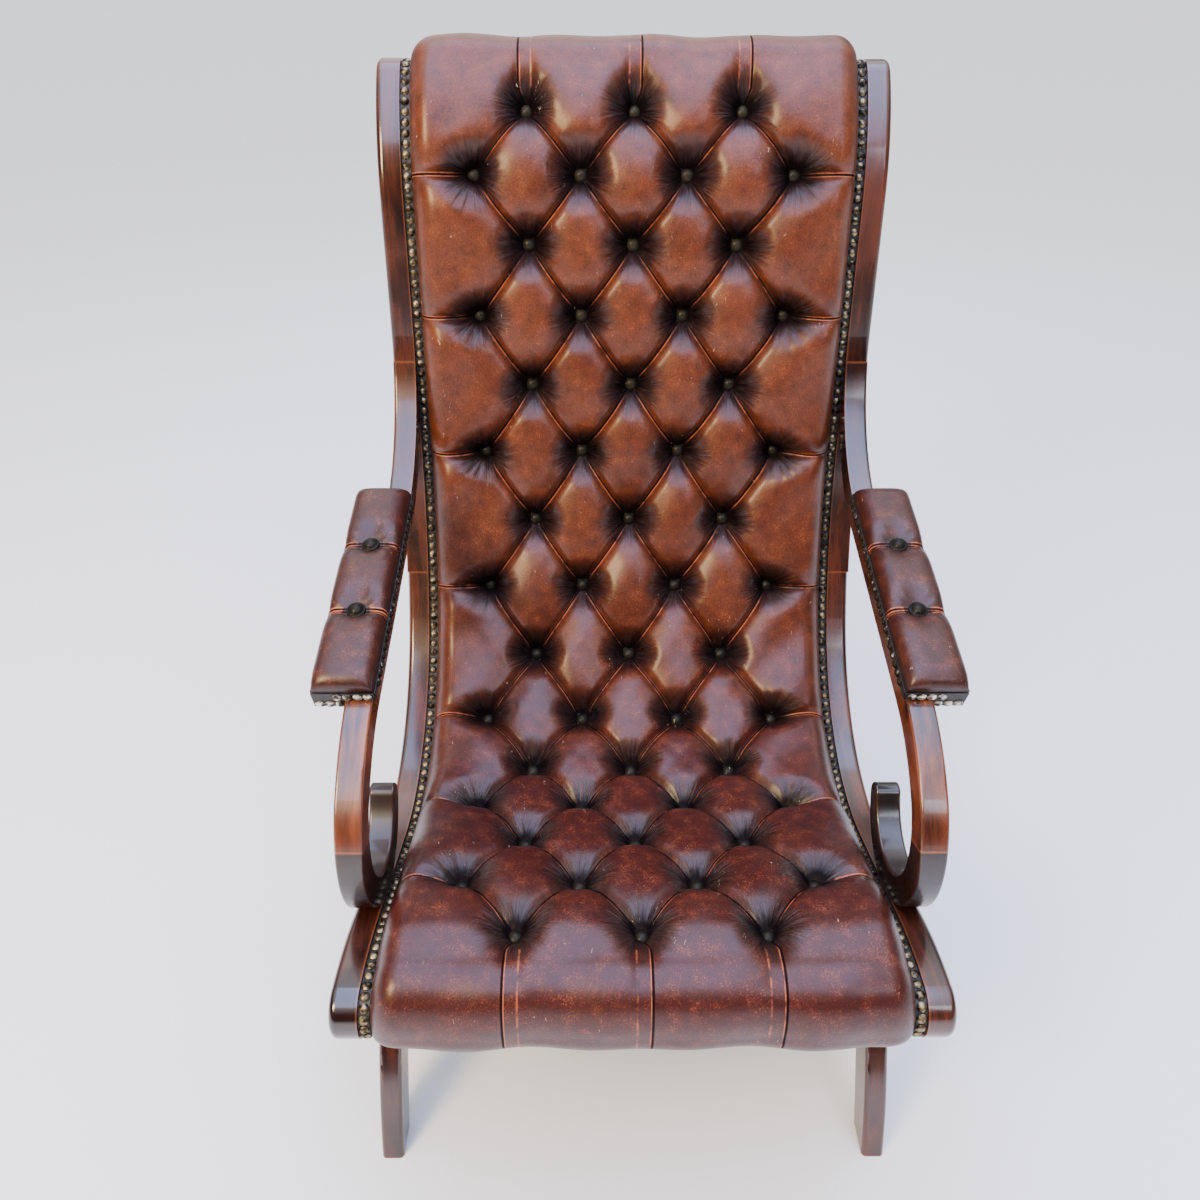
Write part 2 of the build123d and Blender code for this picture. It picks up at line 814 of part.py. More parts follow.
def cover_wire(station, row, share):
    """Closed outline of the hide at one station, with its two nailing flanges."""
    plane = side.plane(station, 0, 0)
    outside, wall = outline(station, row, share, 0)
    inside, inner_wall = outline(station, row, share, hide_thickness)
    reach = show_edge - soft_clearance
    top = flange_clearance + hide_thickness - rabbet_depth
    under = flange_clearance - rabbet_depth
    flange = [(wall, top), (reach, top), (reach, under), (inner_wall, under)]
    right = [outside[-1][3]] + flange + [inside[-1][3]]
    left = [inside[0][2]] + [(-x, n) for x, n in reversed(flange)] + [outside[0][2]]
    inner_back = []
    for mid_x, mid_n, first, last in reversed(inside):
        inner_back.append((mid_x, mid_n, last, first))
    edges = section_edges(plane, outside) + line_chain(plane, right)
    edges += section_edges(plane, inner_back) + line_chain(plane, left)
    return Wire(edges)


def lofted(wires):
    """Solid through a row of like outlines, straight from each to the next."""
    return Solid.make_loft(wires, True)


def foams():
    """Seat stuffing and back stuffing, which meet at the bend of the seat."""
    stations = tuft_stations()
    split = [place for place in stations if place[0] < bend_end][-1]
    seat = [foam_wire(*place) for place in stations if place[0] <= split[0]]
    parting = (split[0] + soft_clearance, split[1], split[2])
    back = [foam_wire(*parting)]
    back += [foam_wire(*place) for place in stations if place[0] > split[0]]
    return lofted(seat), lofted(back)


def tufted_cover():
    """One hide over the whole seat and back, drawn down at every button."""
    return lofted([cover_wire(*place) for place in tuft_stations()])


def domed(diameter, height, rim):
    """Low dome with a short straight rim, its flat side down."""
    radius = diameter / 2
    cap = height - rim
    curve = (radius * radius + cap * cap) / (2 * cap)
    sweep = math.asin(radius / curve) / 2
    mid = Vector(curve * math.sin(sweep), 0, rim + cap - curve * (1 - math.cos(sweep)))
    corners = [Vector(0, 0, height), Vector(radius, 0, rim), Vector(radius, 0, 0), Vector(0, 0, 0)]
    edges = [Edge.make_three_point_arc(corners[0], mid, corners[1])]
    edges += [Edge.make_line(corners[1], corners[2]), Edge.make_line(corners[2], corners[3])]
    edges.append(Edge.make_line(corners[3], corners[0]))
    return Solid.revolve(Face(Wire(edges)), 360, Axis.Z)


def standing(path, station, lift, x):
    """Location on a path whose z axis stands up from the face."""
    y, z, heading = path.place(station, lift)
    angle = math.radians(heading)
    up = Vector(0, -math.sin(angle), math.cos(angle))
    return Location(Plane(origin=(x, y, z), x_dir=(1, 0, 0), z_dir=up))


def cover_buttons():
    """Covered buttons in rows of three and four."""
    button = domed(button_diameter, button_height, button_rim)
    placed = []
    for index, row in enumerate(rows):
        columns = (-1, 0, 1) if index % 2 == 0 else (-1.5, -0.5, 0.5, 1.5)
        lift = blend(row, pit_table) + 3 * soft_clearance
        for column in columns:
            placed.append(standing(side, row, lift, column * column_pitch) * button)
    return Compound(children=placed)


# Nails stand on a dark band that covers the nailed edge of the hide
band_base = 2 * flange_clearance + hide_thickness - rabbet_depth
band_top = band_base + band_thickness
nail_base = band_top + soft_clearance
nail_x = inner_face + rabbet_width / 2


def nail_row(path, low, high, lift, x, pitch, flip):
    """Nails at even steps along a path, domes up or, when flipped, down."""
    nail = domed(nail_diameter, nail_height, nail_height / 5)
    count = int((high - low) // pitch)
    step = (high - low) / count
    placed = []
    for index in range(count + 1):
        place = standing(path, low + index * step, lift, x)
        if flip:
            place = place * Location((0, 0, 0), (180, 0, 0))
        placed.append(place * nail)
    return placed


def show_nails():
    """Nails along one side of the seat and back."""
    high = top_end + 2 * nail_pitch
    return Compound(children=nail_row(side, nail_pitch, high, nail_base, nail_x, nail_pitch, False))


def nail_band():
    """Dark band under the nails of one side."""
    low_x = inner_face + soft_clearance
    high_x = show_edge - soft_clearance
    return band(side, soft_clearance, side.length - soft_clearance, band_base, band_top, low_x, high_x)


# Outside back, nailed to the rear edges of the stiles, and the cloth under the seat
back_hide_top = -frame_depth - soft_clearance
back_hide_base = back_hide_top - hide_thickness
back_hide_low = cross_stations[1]
back_hide_reach = inner_face + back_hide_lap
back_nail_x = back_hide_reach - nail_diameter / 2 - soft_clearance


def outside_back():
    """Plain hide over the back of the chair, from the crest to the bend of the seat."""
    reach = back_hide_reach
    return band(side, back_hide_low, top_end, back_hide_base, back_hide_top, -reach, reach)


def dust_cloth():
    """Thin dark cloth that closes the seat from below."""
    reach = back_hide_reach
    base = back_hide_top - dust_cloth_thickness
    low = nose_end + dust_cloth_start
    return band(side, low, back_hide_low - soft_clearance, base, back_hide_top, -reach, reach)


def back_nails():
    """Nails down one edge of the outside back."""
    lift = back_hide_base - soft_clearance
    low = back_hide_low + nail_pitch
    return Compound(children=nail_row(side, low, top_end, lift, back_nail_x, back_nail_pitch, True))


# Arm pad: board, stuffing, hide, two buttons and its nails
pad_start = arm_straight - pad_rear_lap
pad_finish = arm_knee + pad_front_lap
pad_length = pad_finish - pad_start
pad_outer_x = half_width + pad_overhang
pad_inner_x = pad_outer_x - pad_width
pad_middle_x = (pad_outer_x + pad_inner_x) / 2
pad_pleats = [pad_start + pad_length / 3, pad_finish - pad_length / 3]


def pad_board():
    """Board on top of the arm, thicker where it overhangs the arm on the outside."""
    inset = hide_thickness + soft_clearance
    low, high = pad_start + inset, pad_finish - inset
    high_x = pad_outer_x - inset
    board = band(arm, low, high, -pad_board_thickness, 0, pad_inner_x + inset, high_x)
    lip = band(arm, low, high, -pad_board_thickness, pad_skirt, half_width + soft_clearance, high_x)
    return board + lip


def pad_stations():
    """Stations across the pad, each with a share of its full crown."""
    steps = [0, pad_end_slope / 3, pad_end_slope]
    places = [(pad_start + step, share) for step, share in zip(steps, pad_end_shares)]
    for pleat in pad_pleats:
        places += [(pleat - pad_pleat_half_width, 1), (pleat - pit_half_width, 0)]
        places += [(pleat + pit_half_width, 0), (pleat + pad_pleat_half_width, 1)]
    places += [(pad_finish - step, share) for step, share in zip(steps[::-1], pad_end_shares[::-1])]
    return places


def pad_wire(station, crown_share, inset, base):
    """Outline across the arm pad: walls, rounded edges and a crowned top."""
    pleat = crown_share == 0
    crown = pad_board_thickness + pad_crown
    edge = pad_board_thickness + pad_edge_height
    if pleat:
        crown -= pad_pleat_depth
        edge -= pad_pleat_depth / 2
    else:
        edge -= (1 - crown_share) * pad_edge_height
        crown = edge + (crown - edge) * crown_share
    crown -= inset
    edge -= inset
    at = min(max(station, pad_start + inset), pad_finish - inset)
    ahead = arm.point(at + pad_end_slope, 0, 0) - arm.point(at, 0, 0)
    plane = Plane(origin=arm.point(at, 0, pad_middle_x), x_dir=(1, 0, 0), z_dir=ahead)
    half = pad_width / 2 - inset
    start = half - pad_edge_radius
    shoulder = edge + (crown - edge) * pad_shoulder_share
    slant = math.sqrt(0.5)
    bend = (start + (half - start) * slant, edge + (shoulder - edge) * slant)
    top_arc = ((-start, shoulder), (0, crown), (start, shoulder))
    right_arc = ((start, shoulder), bend, (half, edge))
    left_arc = tuple((-x, n) for x, n in reversed(right_arc))
    edges = []
    for arc in (left_arc, top_arc, right_arc):
        points = [plane.from_local_coords(Vector(*pair, 0)) for pair in arc]
        edges.append(Edge.make_three_point_arc(*points))
    edges += line_chain(plane, [(half, edge), (half, base), (-half, base), (-half, edge)])
    return Wire(edges)


def pad_block(inset, base):
    """Closed pad outline, inset from the outer form, down to a base lift."""
    return lofted([pad_wire(station, share, inset, base) for station, share in pad_stations()])


def pad_foam():
    """Stuffing on the pad's board."""
    return pad_block(hide_thickness + soft_clearance, pad_board_thickness + soft_clearance)


def pad_cover():
    """Hide over the pad and down the sides of its board, deeper on the outside."""
    shell = pad_block(0, soft_clearance) - pad_block(hide_thickness, -cutter_overrun)
    low, high = pad_start + hide_thickness, pad_finish - hide_thickness
    skirt = band(arm, low, high, -pad_edge_height, pad_skirt, pad_outer_x - hide_thickness, pad_outer_x)
    return shell + skirt


def pad_buttons():
    """Two covered buttons in the pleats of a pad."""
    lift = pad_pleat_depth - pad_board_thickness - pad_crown - soft_clearance
    button = domed(button_diameter, button_height, button_rim)
    placed = []
    for pleat in pad_pleats:
        place = standing(arm, pleat, lift, pad_middle_x) * Location((0, 0, 0), (180, 0, 0))
        placed.append(place * button)
    return Compound(children=placed)


# Trim of a pad's edge: a dark strip and the nails on it, clear of the hide and of each other
pad_ends = ((pad_start, -1), (pad_finish, 1))
pad_strip_x = pad_inner_x - soft_clearance
pad_nail_away = 2 * soft_clearance + band_thickness
pad_nail_step = nail_diameter + soft_clearance
pad_nail_level = nail_diameter / 2 + soft_clearance


def pad_end_plane(station, toward, away):
    """Plane at one end of a pad that looks along the arm, moved away from the pad."""
    ahead = (arm.point(station + pad_end_slope, 0, 0) - arm.point(station, 0, 0)).normalized()
    return Plane(origin=arm.point(station, 0, 0) + ahead * toward * away, x_dir=(1, 0, 0), z_dir=ahead)


def pad_strip():
    """Dark strip along the inner side of a pad and across both of its ends."""
    low, high = -pad_strip_width - soft_clearance, -soft_clearance
    pieces = [band(arm, pad_start, pad_finish, low, high, pad_strip_x - band_thickness, pad_strip_x)]
    step_x = half_width + soft_clearance
    corners = [
        (pad_inner_x, soft_clearance),
        (step_x, soft_clearance),
        (step_x, -pad_skirt),
        (pad_outer_x, -pad_skirt),
        (pad_outer_x, -low),
        (pad_inner_x, -low),
        (pad_inner_x, soft_clearance),
    ]
    for station, toward in pad_ends:
        plane = pad_end_plane(station, toward, soft_clearance)
        face = Face(Wire(line_chain(plane, corners)))
        pieces.append(Solid.extrude(face, plane.z_dir * toward * band_thickness))
    return Compound(children=pieces)


def pad_nails():
    """Nails along the inner side of a pad and across its ends, with a low row in front."""
    nail = domed(nail_diameter, nail_height, nail_height / 5)
    placed = []
    count = int((pad_length - 2 * nail_diameter) // nail_pitch)
    for index in range(count + 1):
        station = pad_start + nail_diameter + index * nail_pitch
        y, z, _ = arm.place(station, -pad_nail_level)
        spot = Plane(origin=(pad_inner_x - pad_nail_away, y, z), x_dir=(0, 1, 0), z_dir=(-1, 0, 0))
        placed.append(Location(spot) * nail)
    first_x = arm_middle_x - pad_nail_step
    low_x = half_width + pad_nail_level
    low_level = pad_nail_level - pad_skirt
    for station, toward in pad_ends:
        plane = pad_end_plane(station, toward, pad_nail_away)
        spots = [(first_x + index * pad_nail_step, pad_nail_level) for index in range(3)]
        if toward > 0:
            spots.append((first_x + 3 * pad_nail_step, pad_nail_level))
            spots += [(low_x + index * pad_nail_step, low_level) for index in range(3)]
        for spot in spots:
            centre = plane.from_local_coords(Vector(*spot, 0))
            facing = Plane(origin=centre, x_dir=(1, 0, 0), z_dir=plane.z_dir * toward)
            placed.append(Location(facing) * nail)
    return Compound(children=placed)


# Dowels and screws
def dowel_line(path, station, lift, x, reach_back, reach_on):
    """Axis of a dowel along a path at one place."""
    y, z, heading = path.place(station, lift)
    angle = math.radians(heading)
    ahead = Vector(0, math.cos(angle), math.sin(angle))
    middle = Vector(x, y, z)
    return middle - ahead * reach_back, middle + ahead * reach_on


def cross_line(station, lift, toward):
    """Axis of a dowel from a side frame into the end of a cross rail."""
    y, z, _ = side.place(station, lift)
    middle = Vector(toward * inner_face, y, z)
    reach = Vector(dowel_length / 2, 0, 0)
    return middle - reach, middle + reach


def standing_line(path, station, lift, x, down, up):
    """Axis of a dowel or screw square to a path's face."""
    y, z, heading = path.place(station, lift)
    angle = math.radians(heading)
    away = Vector(0, -math.sin(angle), math.cos(angle))
    middle = Vector(x, y, z)
    return middle - away * down, middle + away * up


half_dowel = dowel_length / 2
arm_middle_x = half_width - arm_thickness / 2
frame_middle_x = half_width - frame_thickness / 2
leg_middle_x = half_width - leg_thickness / 2
arm_foot_station = side.find(*arm.place(arm_bottom)[:2])[0]
leg_crown_station = side.find(crown_y, crown_height)[0]
arm_root_station = housing_bottom + 2 * dowel_spacing
short_dowel = half_dowel / 2
side_dowels = [
    dowel_line(arm, pad_joint, arm_depth / 2, arm_middle_x, half_dowel, half_dowel),
    dowel_line(arm, front_joint, arm_depth / 2, arm_middle_x, short_dowel, short_dowel),
    standing_line(side, arm_foot_station, 0, arm_middle_x, half_dowel, short_dowel),
    standing_line(side, arm_root_station, -arm_housing, arm_middle_x, half_dowel, short_dowel),
]
for step in (-dowel_spacing, dowel_spacing):
    joint_lift = step / 2 - half_depth
    side_dowels.append(dowel_line(side, rail_joint, joint_lift, frame_middle_x, half_dowel, half_dowel))
    leg_station = leg_crown_station + step
    side_dowels.append(standing_line(side, leg_station, -frame_depth, leg_middle_x, short_dowel, half_dowel))
crest_centre = top_end - crest_rail_tail / 2
rail_dowels = [(nose_end + nose_rail_tail / 2 - dowel_spacing / 2, -half_depth)]
rail_dowels += [(nose_end + nose_rail_tail / 2 + dowel_spacing / 4, -half_depth)]
for cross_station in cross_stations:
    rail_dowels.append((cross_station - dowel_spacing / 2, (cross_low + cross_high) / 2))
    rail_dowels.append((cross_station + dowel_spacing / 2, (cross_low + cross_high) / 2))
rail_dowels.append((crest_centre - dowel_spacing / 2, -half_depth))
rail_dowels.append((crest_centre + dowel_spacing / 2, -half_depth))


def dowel_bars(lines, radius, shortened):
    """Round bars on a list of axes, each shortened at both ends."""
    bars = []
    for start, end in lines:
        trim = (end - start).normalized() * shortened
        bars.append(bar(start + trim, end - trim, radius))
    return bars


def holes(lines):
    """Cutters for the dowels of a list of axes."""
    return dowel_bars(lines, dowel_diameter / 2, 0)


def dowels(lines):
    """Dowels on a list of axes."""
    return dowel_bars(lines, dowel_diameter / 2 - dowel_clearance, screw_clearance)


right_cross_lines = [cross_line(station, lift, 1) for station, lift in rail_dowels]
right_lines = side_dowels + right_cross_lines


def drilled(solid, cutters):
    """A piece less those cutters that reach it."""
    box = solid.bounding_box()
    for cutter in cutters:
        other = cutter.bounding_box()
        apart = other.min.X > box.max.X or other.max.X < box.min.X
        apart = apart or other.min.Y > box.max.Y or other.max.Y < box.min.Y
        apart = apart or other.min.Z > box.max.Z or other.max.Z < box.min.Z
        if not apart:
            solid = solid - cutter
    return solid


pad_screw_stations = [pad_start + pad_length / 5, pad_joint - pad_length / 5]


def screw(start, direction, length, grown):
    """Countersunk screw with its head at start, or its cutter when grown."""
    plane = Plane(origin=start, z_dir=direction)
    radius = screw_diameter / 2 + grown
    head = screw_head_diameter / 2 + grown
    depth = screw_head_diameter / 2
    shank = Solid.make_cylinder(radius, length + grown, plane)
    cone = Solid.make_cone(head, radius, depth, plane)
    return shank + cone


def pad_screw_set(grown):
    """Screws up through the arm into the pad's board."""
    placed = []
    for station in pad_screw_stations:
        y, z, heading = arm.place(station, arm_depth)
        angle = math.radians(heading)
        up = Vector(0, math.sin(angle), -math.cos(angle))
        placed.append(screw(Vector(arm_middle_x, y, z), up, screw_length, grown))
    return placed


def build_side():
    """Every piece of the right-hand side frame and its trim."""
    cutters = holes(right_lines)
    screws = pad_screw_set(screw_clearance)
    return {
        "seat_rail": drilled(seat_rail(), cutters),
        "back_stile": drilled(back_stile(), cutters),
        "arm_rail": drilled(arm_rail(), cutters + screws),
        "arm_support": drilled(arm_support(), cutters),
        "arm_scroll": drilled(arm_scroll(), cutters),
        "front_leg": drilled(leg(front_arch, -1), cutters),
        "rear_leg": drilled(leg(rear_arch, 1), cutters),
        "web_ledger": ledgers(),
        "nail_band": nail_band(),
        "show_nails": show_nails(),
        "back_nails": back_nails(),
        "arm_pad_board": drilled(pad_board(), screws),
        "arm_pad_foam": pad_foam(),
        "arm_pad_cover": pad_cover(),
        "arm_pad_buttons": pad_buttons(),
        "arm_pad_strip": pad_strip(),
        "arm_pad_nails": pad_nails(),
        "arm_pad_screws": Compound(children=pad_screw_set(0)),
        "frame_dowels": Compound(children=dowels(side_dowels)),
    }


def build_middle():
    """Every piece that runs from side to side."""
    left_cross_lines = [cross_line(station, lift, -1) for station, lift in rail_dowels]
    cutters = holes(right_cross_lines + left_cross_lines)
    seat_foam, back_foam = foams()
    nodes = {
        "front_rail": nosed_rail(nose_end, nose_rail_tail, 1),
        "seat_mid_rail": cross_rail(cross_stations[0]),
        "seat_bend_rail": cross_rail(cross_stations[1]),
        "lumbar_rail": cross_rail(cross_stations[2]),
        "crest_rail": nosed_rail(top_end, crest_rail_tail, -1),
    }
    for name in nodes:
        nodes[name] = drilled(nodes[name], cutters)
    nodes["cross_rail_dowels"] = Compound(children=dowels(right_cross_lines + left_cross_lines))
    nodes["corner_blocks"] = Compound(children=[corner_block(1), corner_block(-1)])
    nodes["webbing"] = webbing()
    nodes["hessian"] = hessian()
    nodes["seat_foam"] = seat_foam
    nodes["back_foam"] = back_foam
    nodes["tufted_cover"] = tufted_cover()
    nodes["cover_buttons"] = cover_buttons()
    nodes["outside_back"] = outside_back()
    nodes["dust_cloth"] = dust_cloth()
    return nodes


def assemble():
    """All nodes, moved so that the origin is under the middle of the chair's box."""
    nodes = {}
    for name, shape in build_side().items():
        nodes[name + "_right"] = shape
        nodes[name + "_left"] = mirrored(shape)
    nodes.update(build_middle())
    boxes = [shape.bounding_box() for shape in nodes.values()]
    front = min(box.min.Y for box in boxes)
    rear = max(box.max.Y for box in boxes)
    floor = min(box.min.Z for box in boxes)
    shift = Location((0, -(front + rear) / 2, -floor))
    return {name: shift * shape for name, shape in nodes.items()}


os.makedirs("parts", exist_ok=True)
for node, shape in assemble().items():
    export_step(shape, "parts/" + node + ".step")
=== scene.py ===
import json
import logging
import math
from dataclasses import dataclass, field
from enum import Enum
from typing import Sequence

import bpy
import numpy as np
from mathutils import Matrix, Vector

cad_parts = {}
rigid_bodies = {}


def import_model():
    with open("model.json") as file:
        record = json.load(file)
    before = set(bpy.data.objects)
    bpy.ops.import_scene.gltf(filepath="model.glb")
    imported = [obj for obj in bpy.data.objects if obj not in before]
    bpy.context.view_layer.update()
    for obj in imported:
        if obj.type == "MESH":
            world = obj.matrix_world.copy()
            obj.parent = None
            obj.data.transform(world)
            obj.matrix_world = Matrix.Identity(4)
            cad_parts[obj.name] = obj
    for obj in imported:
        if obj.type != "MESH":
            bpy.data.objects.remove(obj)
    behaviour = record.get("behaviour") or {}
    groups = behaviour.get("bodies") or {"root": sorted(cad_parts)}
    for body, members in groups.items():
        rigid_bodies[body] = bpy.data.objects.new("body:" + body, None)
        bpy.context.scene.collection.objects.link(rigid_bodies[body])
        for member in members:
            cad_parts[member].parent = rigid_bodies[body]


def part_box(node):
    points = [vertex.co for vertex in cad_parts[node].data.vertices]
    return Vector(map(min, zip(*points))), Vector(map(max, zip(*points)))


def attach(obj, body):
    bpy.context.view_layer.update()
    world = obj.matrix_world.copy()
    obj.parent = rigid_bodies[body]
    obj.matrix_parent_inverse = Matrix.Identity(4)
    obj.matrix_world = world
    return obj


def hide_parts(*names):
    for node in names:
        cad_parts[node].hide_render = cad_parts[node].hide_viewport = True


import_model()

LOG = logging.getLogger("armchair")
Socket = bpy.types.NodeSocket
Triple = tuple[float, float, float]
ButtonPlace = tuple[Vector, Vector, float]


# Side paths of the frame and the arm


@dataclass(frozen=True)
class Run:
    """One leg of a side path: a straight run of a length, or an arc of a radius and a turn in degrees."""

    size: float
    turn: float = 0.0


class SidePath:
    """Straight runs and tangent arcs in the YZ plane, worked out for whole arrays of stations.

    A point is start + the integral of the heading along the path, then moved by its lift
    along the left-hand normal of the heading.
    """

    def __init__(self, y: float, z: float, heading: float, runs: Sequence[Run]) -> None:
        self.legs: list[tuple[float, float, float, float, float, Run]] = []
        station = 0.0
        for run in runs:
            length = abs(math.radians(run.turn)) * run.size if run.turn else run.size
            self.legs.append((station, length, y, z, math.radians(heading), run))
            end_y, end_z, end_heading = self._along(self.legs[-1], np.array(length))
            y, z, heading = float(end_y), float(end_z), math.degrees(float(end_heading))
            station += length
        self.length = station

    @staticmethod
    def _along(leg: tuple, distance: np.ndarray) -> tuple[np.ndarray, np.ndarray, np.ndarray]:
        """Place and heading at distances into one leg.

        Args:
            leg: one entry of self.legs.
            distance: metres into the leg.

        Returns:
            y, z and heading in radians.
        """
        _, _, y, z, angle, run = leg
        if not run.turn:
            return y + distance * math.cos(angle), z + distance * math.sin(angle), angle + 0 * distance
        side = math.copysign(1.0, run.turn)
        swung = angle + side * distance / run.size
        centre_y = y - side * run.size * math.sin(angle)
        centre_z = z + side * run.size * math.cos(angle)
        return centre_y + side * run.size * np.sin(swung), centre_z - side * run.size * np.cos(swung), swung

    def place(self, station: np.ndarray, lift: np.ndarray | float = 0.0) -> tuple[np.ndarray, ...]:
        """Point at each station, moved to the left of travel by its lift.

        Args:
            station: metres along the path.
            lift: metres to the left of travel.

        Returns:
            y, z and the heading in radians.
        """
        station = np.asarray(station, float)
        y = np.zeros_like(station)
        z = np.zeros_like(station)
        heading = np.zeros_like(station)
        last = len(self.legs) - 1
        for index, leg in enumerate(self.legs):
            inside = station >= leg[0] if index else np.ones_like(station, bool)
            if index < last:
                inside = inside & (station < leg[0] + leg[1])
            leg_y, leg_z, leg_heading = self._along(leg, station - leg[0])
            y = np.where(inside, leg_y, y)
            z = np.where(inside, leg_z, z)
            heading = np.where(inside, leg_heading, heading)
        return y - lift * np.sin(heading), z + lift * np.cos(heading), heading

    def start_of(self, index: int) -> float:
        """Station where a leg starts."""
        return self.legs[index][0]


@dataclass(frozen=True)
class FrameSizes:
    """Driving sizes of the wooden side frame, in metres and degrees."""

    width: float = 0.570
    thickness: float = 0.038
    depth: float = 0.056
    scroll_height: float = 0.330
    brow: Run = Run(0.330, -15.5)
    seat: Run = Run(0.148)
    bend: Run = Run(0.243, 74.5)
    lumbar: Run = Run(0.564, 22.3)
    back: Run = Run(0.287)
    top: Run = Run(0.241, -33.3)
    rabbet_width: float = 0.011
    rabbet_depth: float = 0.007

    @property
    def inner_face(self) -> float:
        """Half the clear width between the side frames."""
        return self.width / 2 - self.thickness

    @property
    def show_edge(self) -> float:
        """Outer edge of the rabbet, from the chair's middle."""
        return self.inner_face + self.rabbet_width


@dataclass(frozen=True)
class ArmSizes:
    """Driving sizes of the arm and its pad, in metres and degrees."""

    start_rise: float = 0.138
    shoulder: Run = Run(0.1875, -68.6)
    straight: Run = Run(0.253)
    knee: Run = Run(0.220, 31.3)
    front: Run = Run(0.109, 46.0)
    pad_rear_lap: float = 0.015
    pad_front_lap: float = 0.020
    pad_width: float = 0.061
    pad_outer: float = 0.316
    board: float = 0.010
    crown: float = 0.020


class ChairLayout:
    """Paths and stations shared by all the pieces, placed in the CAD frame."""

    def __init__(self, sizes: FrameSizes, arm_sizes: ArmSizes) -> None:
        self.sizes = sizes
        self.arm_sizes = arm_sizes
        low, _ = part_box("seat_rail_right")
        half = sizes.depth / 2
        self.shift = low.y + half
        self.side = SidePath(self.shift, sizes.scroll_height - half, 180.0, [
            Run(half, -90.0), Run(half, -90.0), sizes.brow, sizes.seat, sizes.bend,
            sizes.lumbar, sizes.back, sizes.top, Run(half, -90.0), Run(half, -90.0),
        ])
        self.nose_end = self.side.start_of(2)
        self.lumbar_end = self.side.start_of(6)
        self.top_end = self.side.start_of(8)
        y, z, heading = self.side.place(np.array(self.lumbar_end + arm_sizes.start_rise))
        self.arm = SidePath(float(y), float(z), math.degrees(float(heading)) + 180.0, [
            arm_sizes.shoulder, arm_sizes.straight, arm_sizes.knee, arm_sizes.front,
        ])


# Meshes


def polygon_mesh(name: str, points: np.ndarray, corners: np.ndarray, sizes: np.ndarray) -> bpy.types.Object:
    """Makes a mesh object from points and polygons.

    Args:
        name: name of the object and its mesh.
        points: array of shape (count, 3), in metres.
        corners: point indices of all the polygons, one polygon after the other.
        sizes: number of corners of each polygon.

    Returns:
        The new object, linked to the scene, shaded smooth.
    """
    mesh = bpy.data.meshes.new(name)
    mesh.vertices.add(len(points))
    mesh.vertices.foreach_set("co", points.ravel().astype(np.float32))
    mesh.loops.add(len(corners))
    mesh.loops.foreach_set("vertex_index", corners.astype(np.int32))
    mesh.polygons.add(len(sizes))
    mesh.polygons.foreach_set("loop_start", (np.cumsum(sizes) - sizes).astype(np.int32))
    mesh.update(calc_edges=True)
    mesh.polygons.foreach_set("use_smooth", np.ones(len(mesh.polygons), bool))
    made = bpy.data.objects.new(name, mesh)
    bpy.context.scene.collection.objects.link(made)
    return made


def grid_mesh(name: str, points: np.ndarray, wrap: bool = False, caps: bool = False) -> bpy.types.Object:
    """Makes a mesh object of quads from a grid of points.

    Quad (i, j) joins points (i, j), (i, j+1), (i+1, j+1) and (i+1, j). A wrapped grid also
    joins its last column to its first, and caps close both open ends of such a tube.

    Args:
        name: name of the object and its mesh.
        points: array of shape (rows, columns, 3), in metres.
        wrap: join the last column to the first.
        caps: close the first and last rows.

    Returns:
        The new object.
    """
    rows, columns, _ = points.shape
    index = np.arange(rows * columns).reshape(rows, columns)
    right = np.roll(index, -1, axis=1) if wrap else index[:, 1:]
    left = index if wrap else index[:, :-1]
    quads = np.stack([left[:-1], right[:-1], right[1:], left[1:]], axis=-1).reshape(-1, 4)
    corners = quads.ravel()
    sizes = np.full(len(quads), 4)
    if caps:
        corners = np.concatenate([corners, index[0, ::-1], index[-1]])
        sizes = np.concatenate([sizes, [columns, columns]])
    made = polygon_mesh(name, points.reshape(-1, 3), corners, sizes)
    made.data.validate()
    return made


def triangle_mesh(name: str, points: np.ndarray, triangles: np.ndarray) -> bpy.types.Object:
    """Makes a mesh object from points and triangles, given as rows of three point indices."""
    return polygon_mesh(name, points, triangles.ravel(), np.full(len(triangles), 3))


def add_attribute(piece: bpy.types.Object, name: str, values: np.ndarray) -> None:
    """Stores one number or one vector for each vertex, for a material to read.

    Args:
        piece: mesh object.
        name: attribute name.
        values: a number, or three in a last axis, for each of the first vertices; the rest get nought.
    """
    vectors = values.ndim > 1 and values.shape[-1] == 3
    numbers = np.zeros(len(piece.data.vertices) * (3 if vectors else 1), np.float32)
    numbers[:values.size] = values.ravel()
    layer = piece.data.attributes.new(name, "FLOAT_VECTOR" if vectors else "FLOAT", "POINT")
    layer.data.foreach_set("vector" if vectors else "value", numbers)


def add_plain_attributes(piece: bpy.types.Object) -> None:
    """Marks a piece as far from any fold or button, for the leather."""
    count = len(piece.data.vertices)
    add_attribute(piece, "fold", np.ones(count))
    add_attribute(piece, "lip", np.zeros(count))
    add_attribute(piece, "fan", np.zeros(count))
    add_attribute(piece, "seam", np.ones(count))


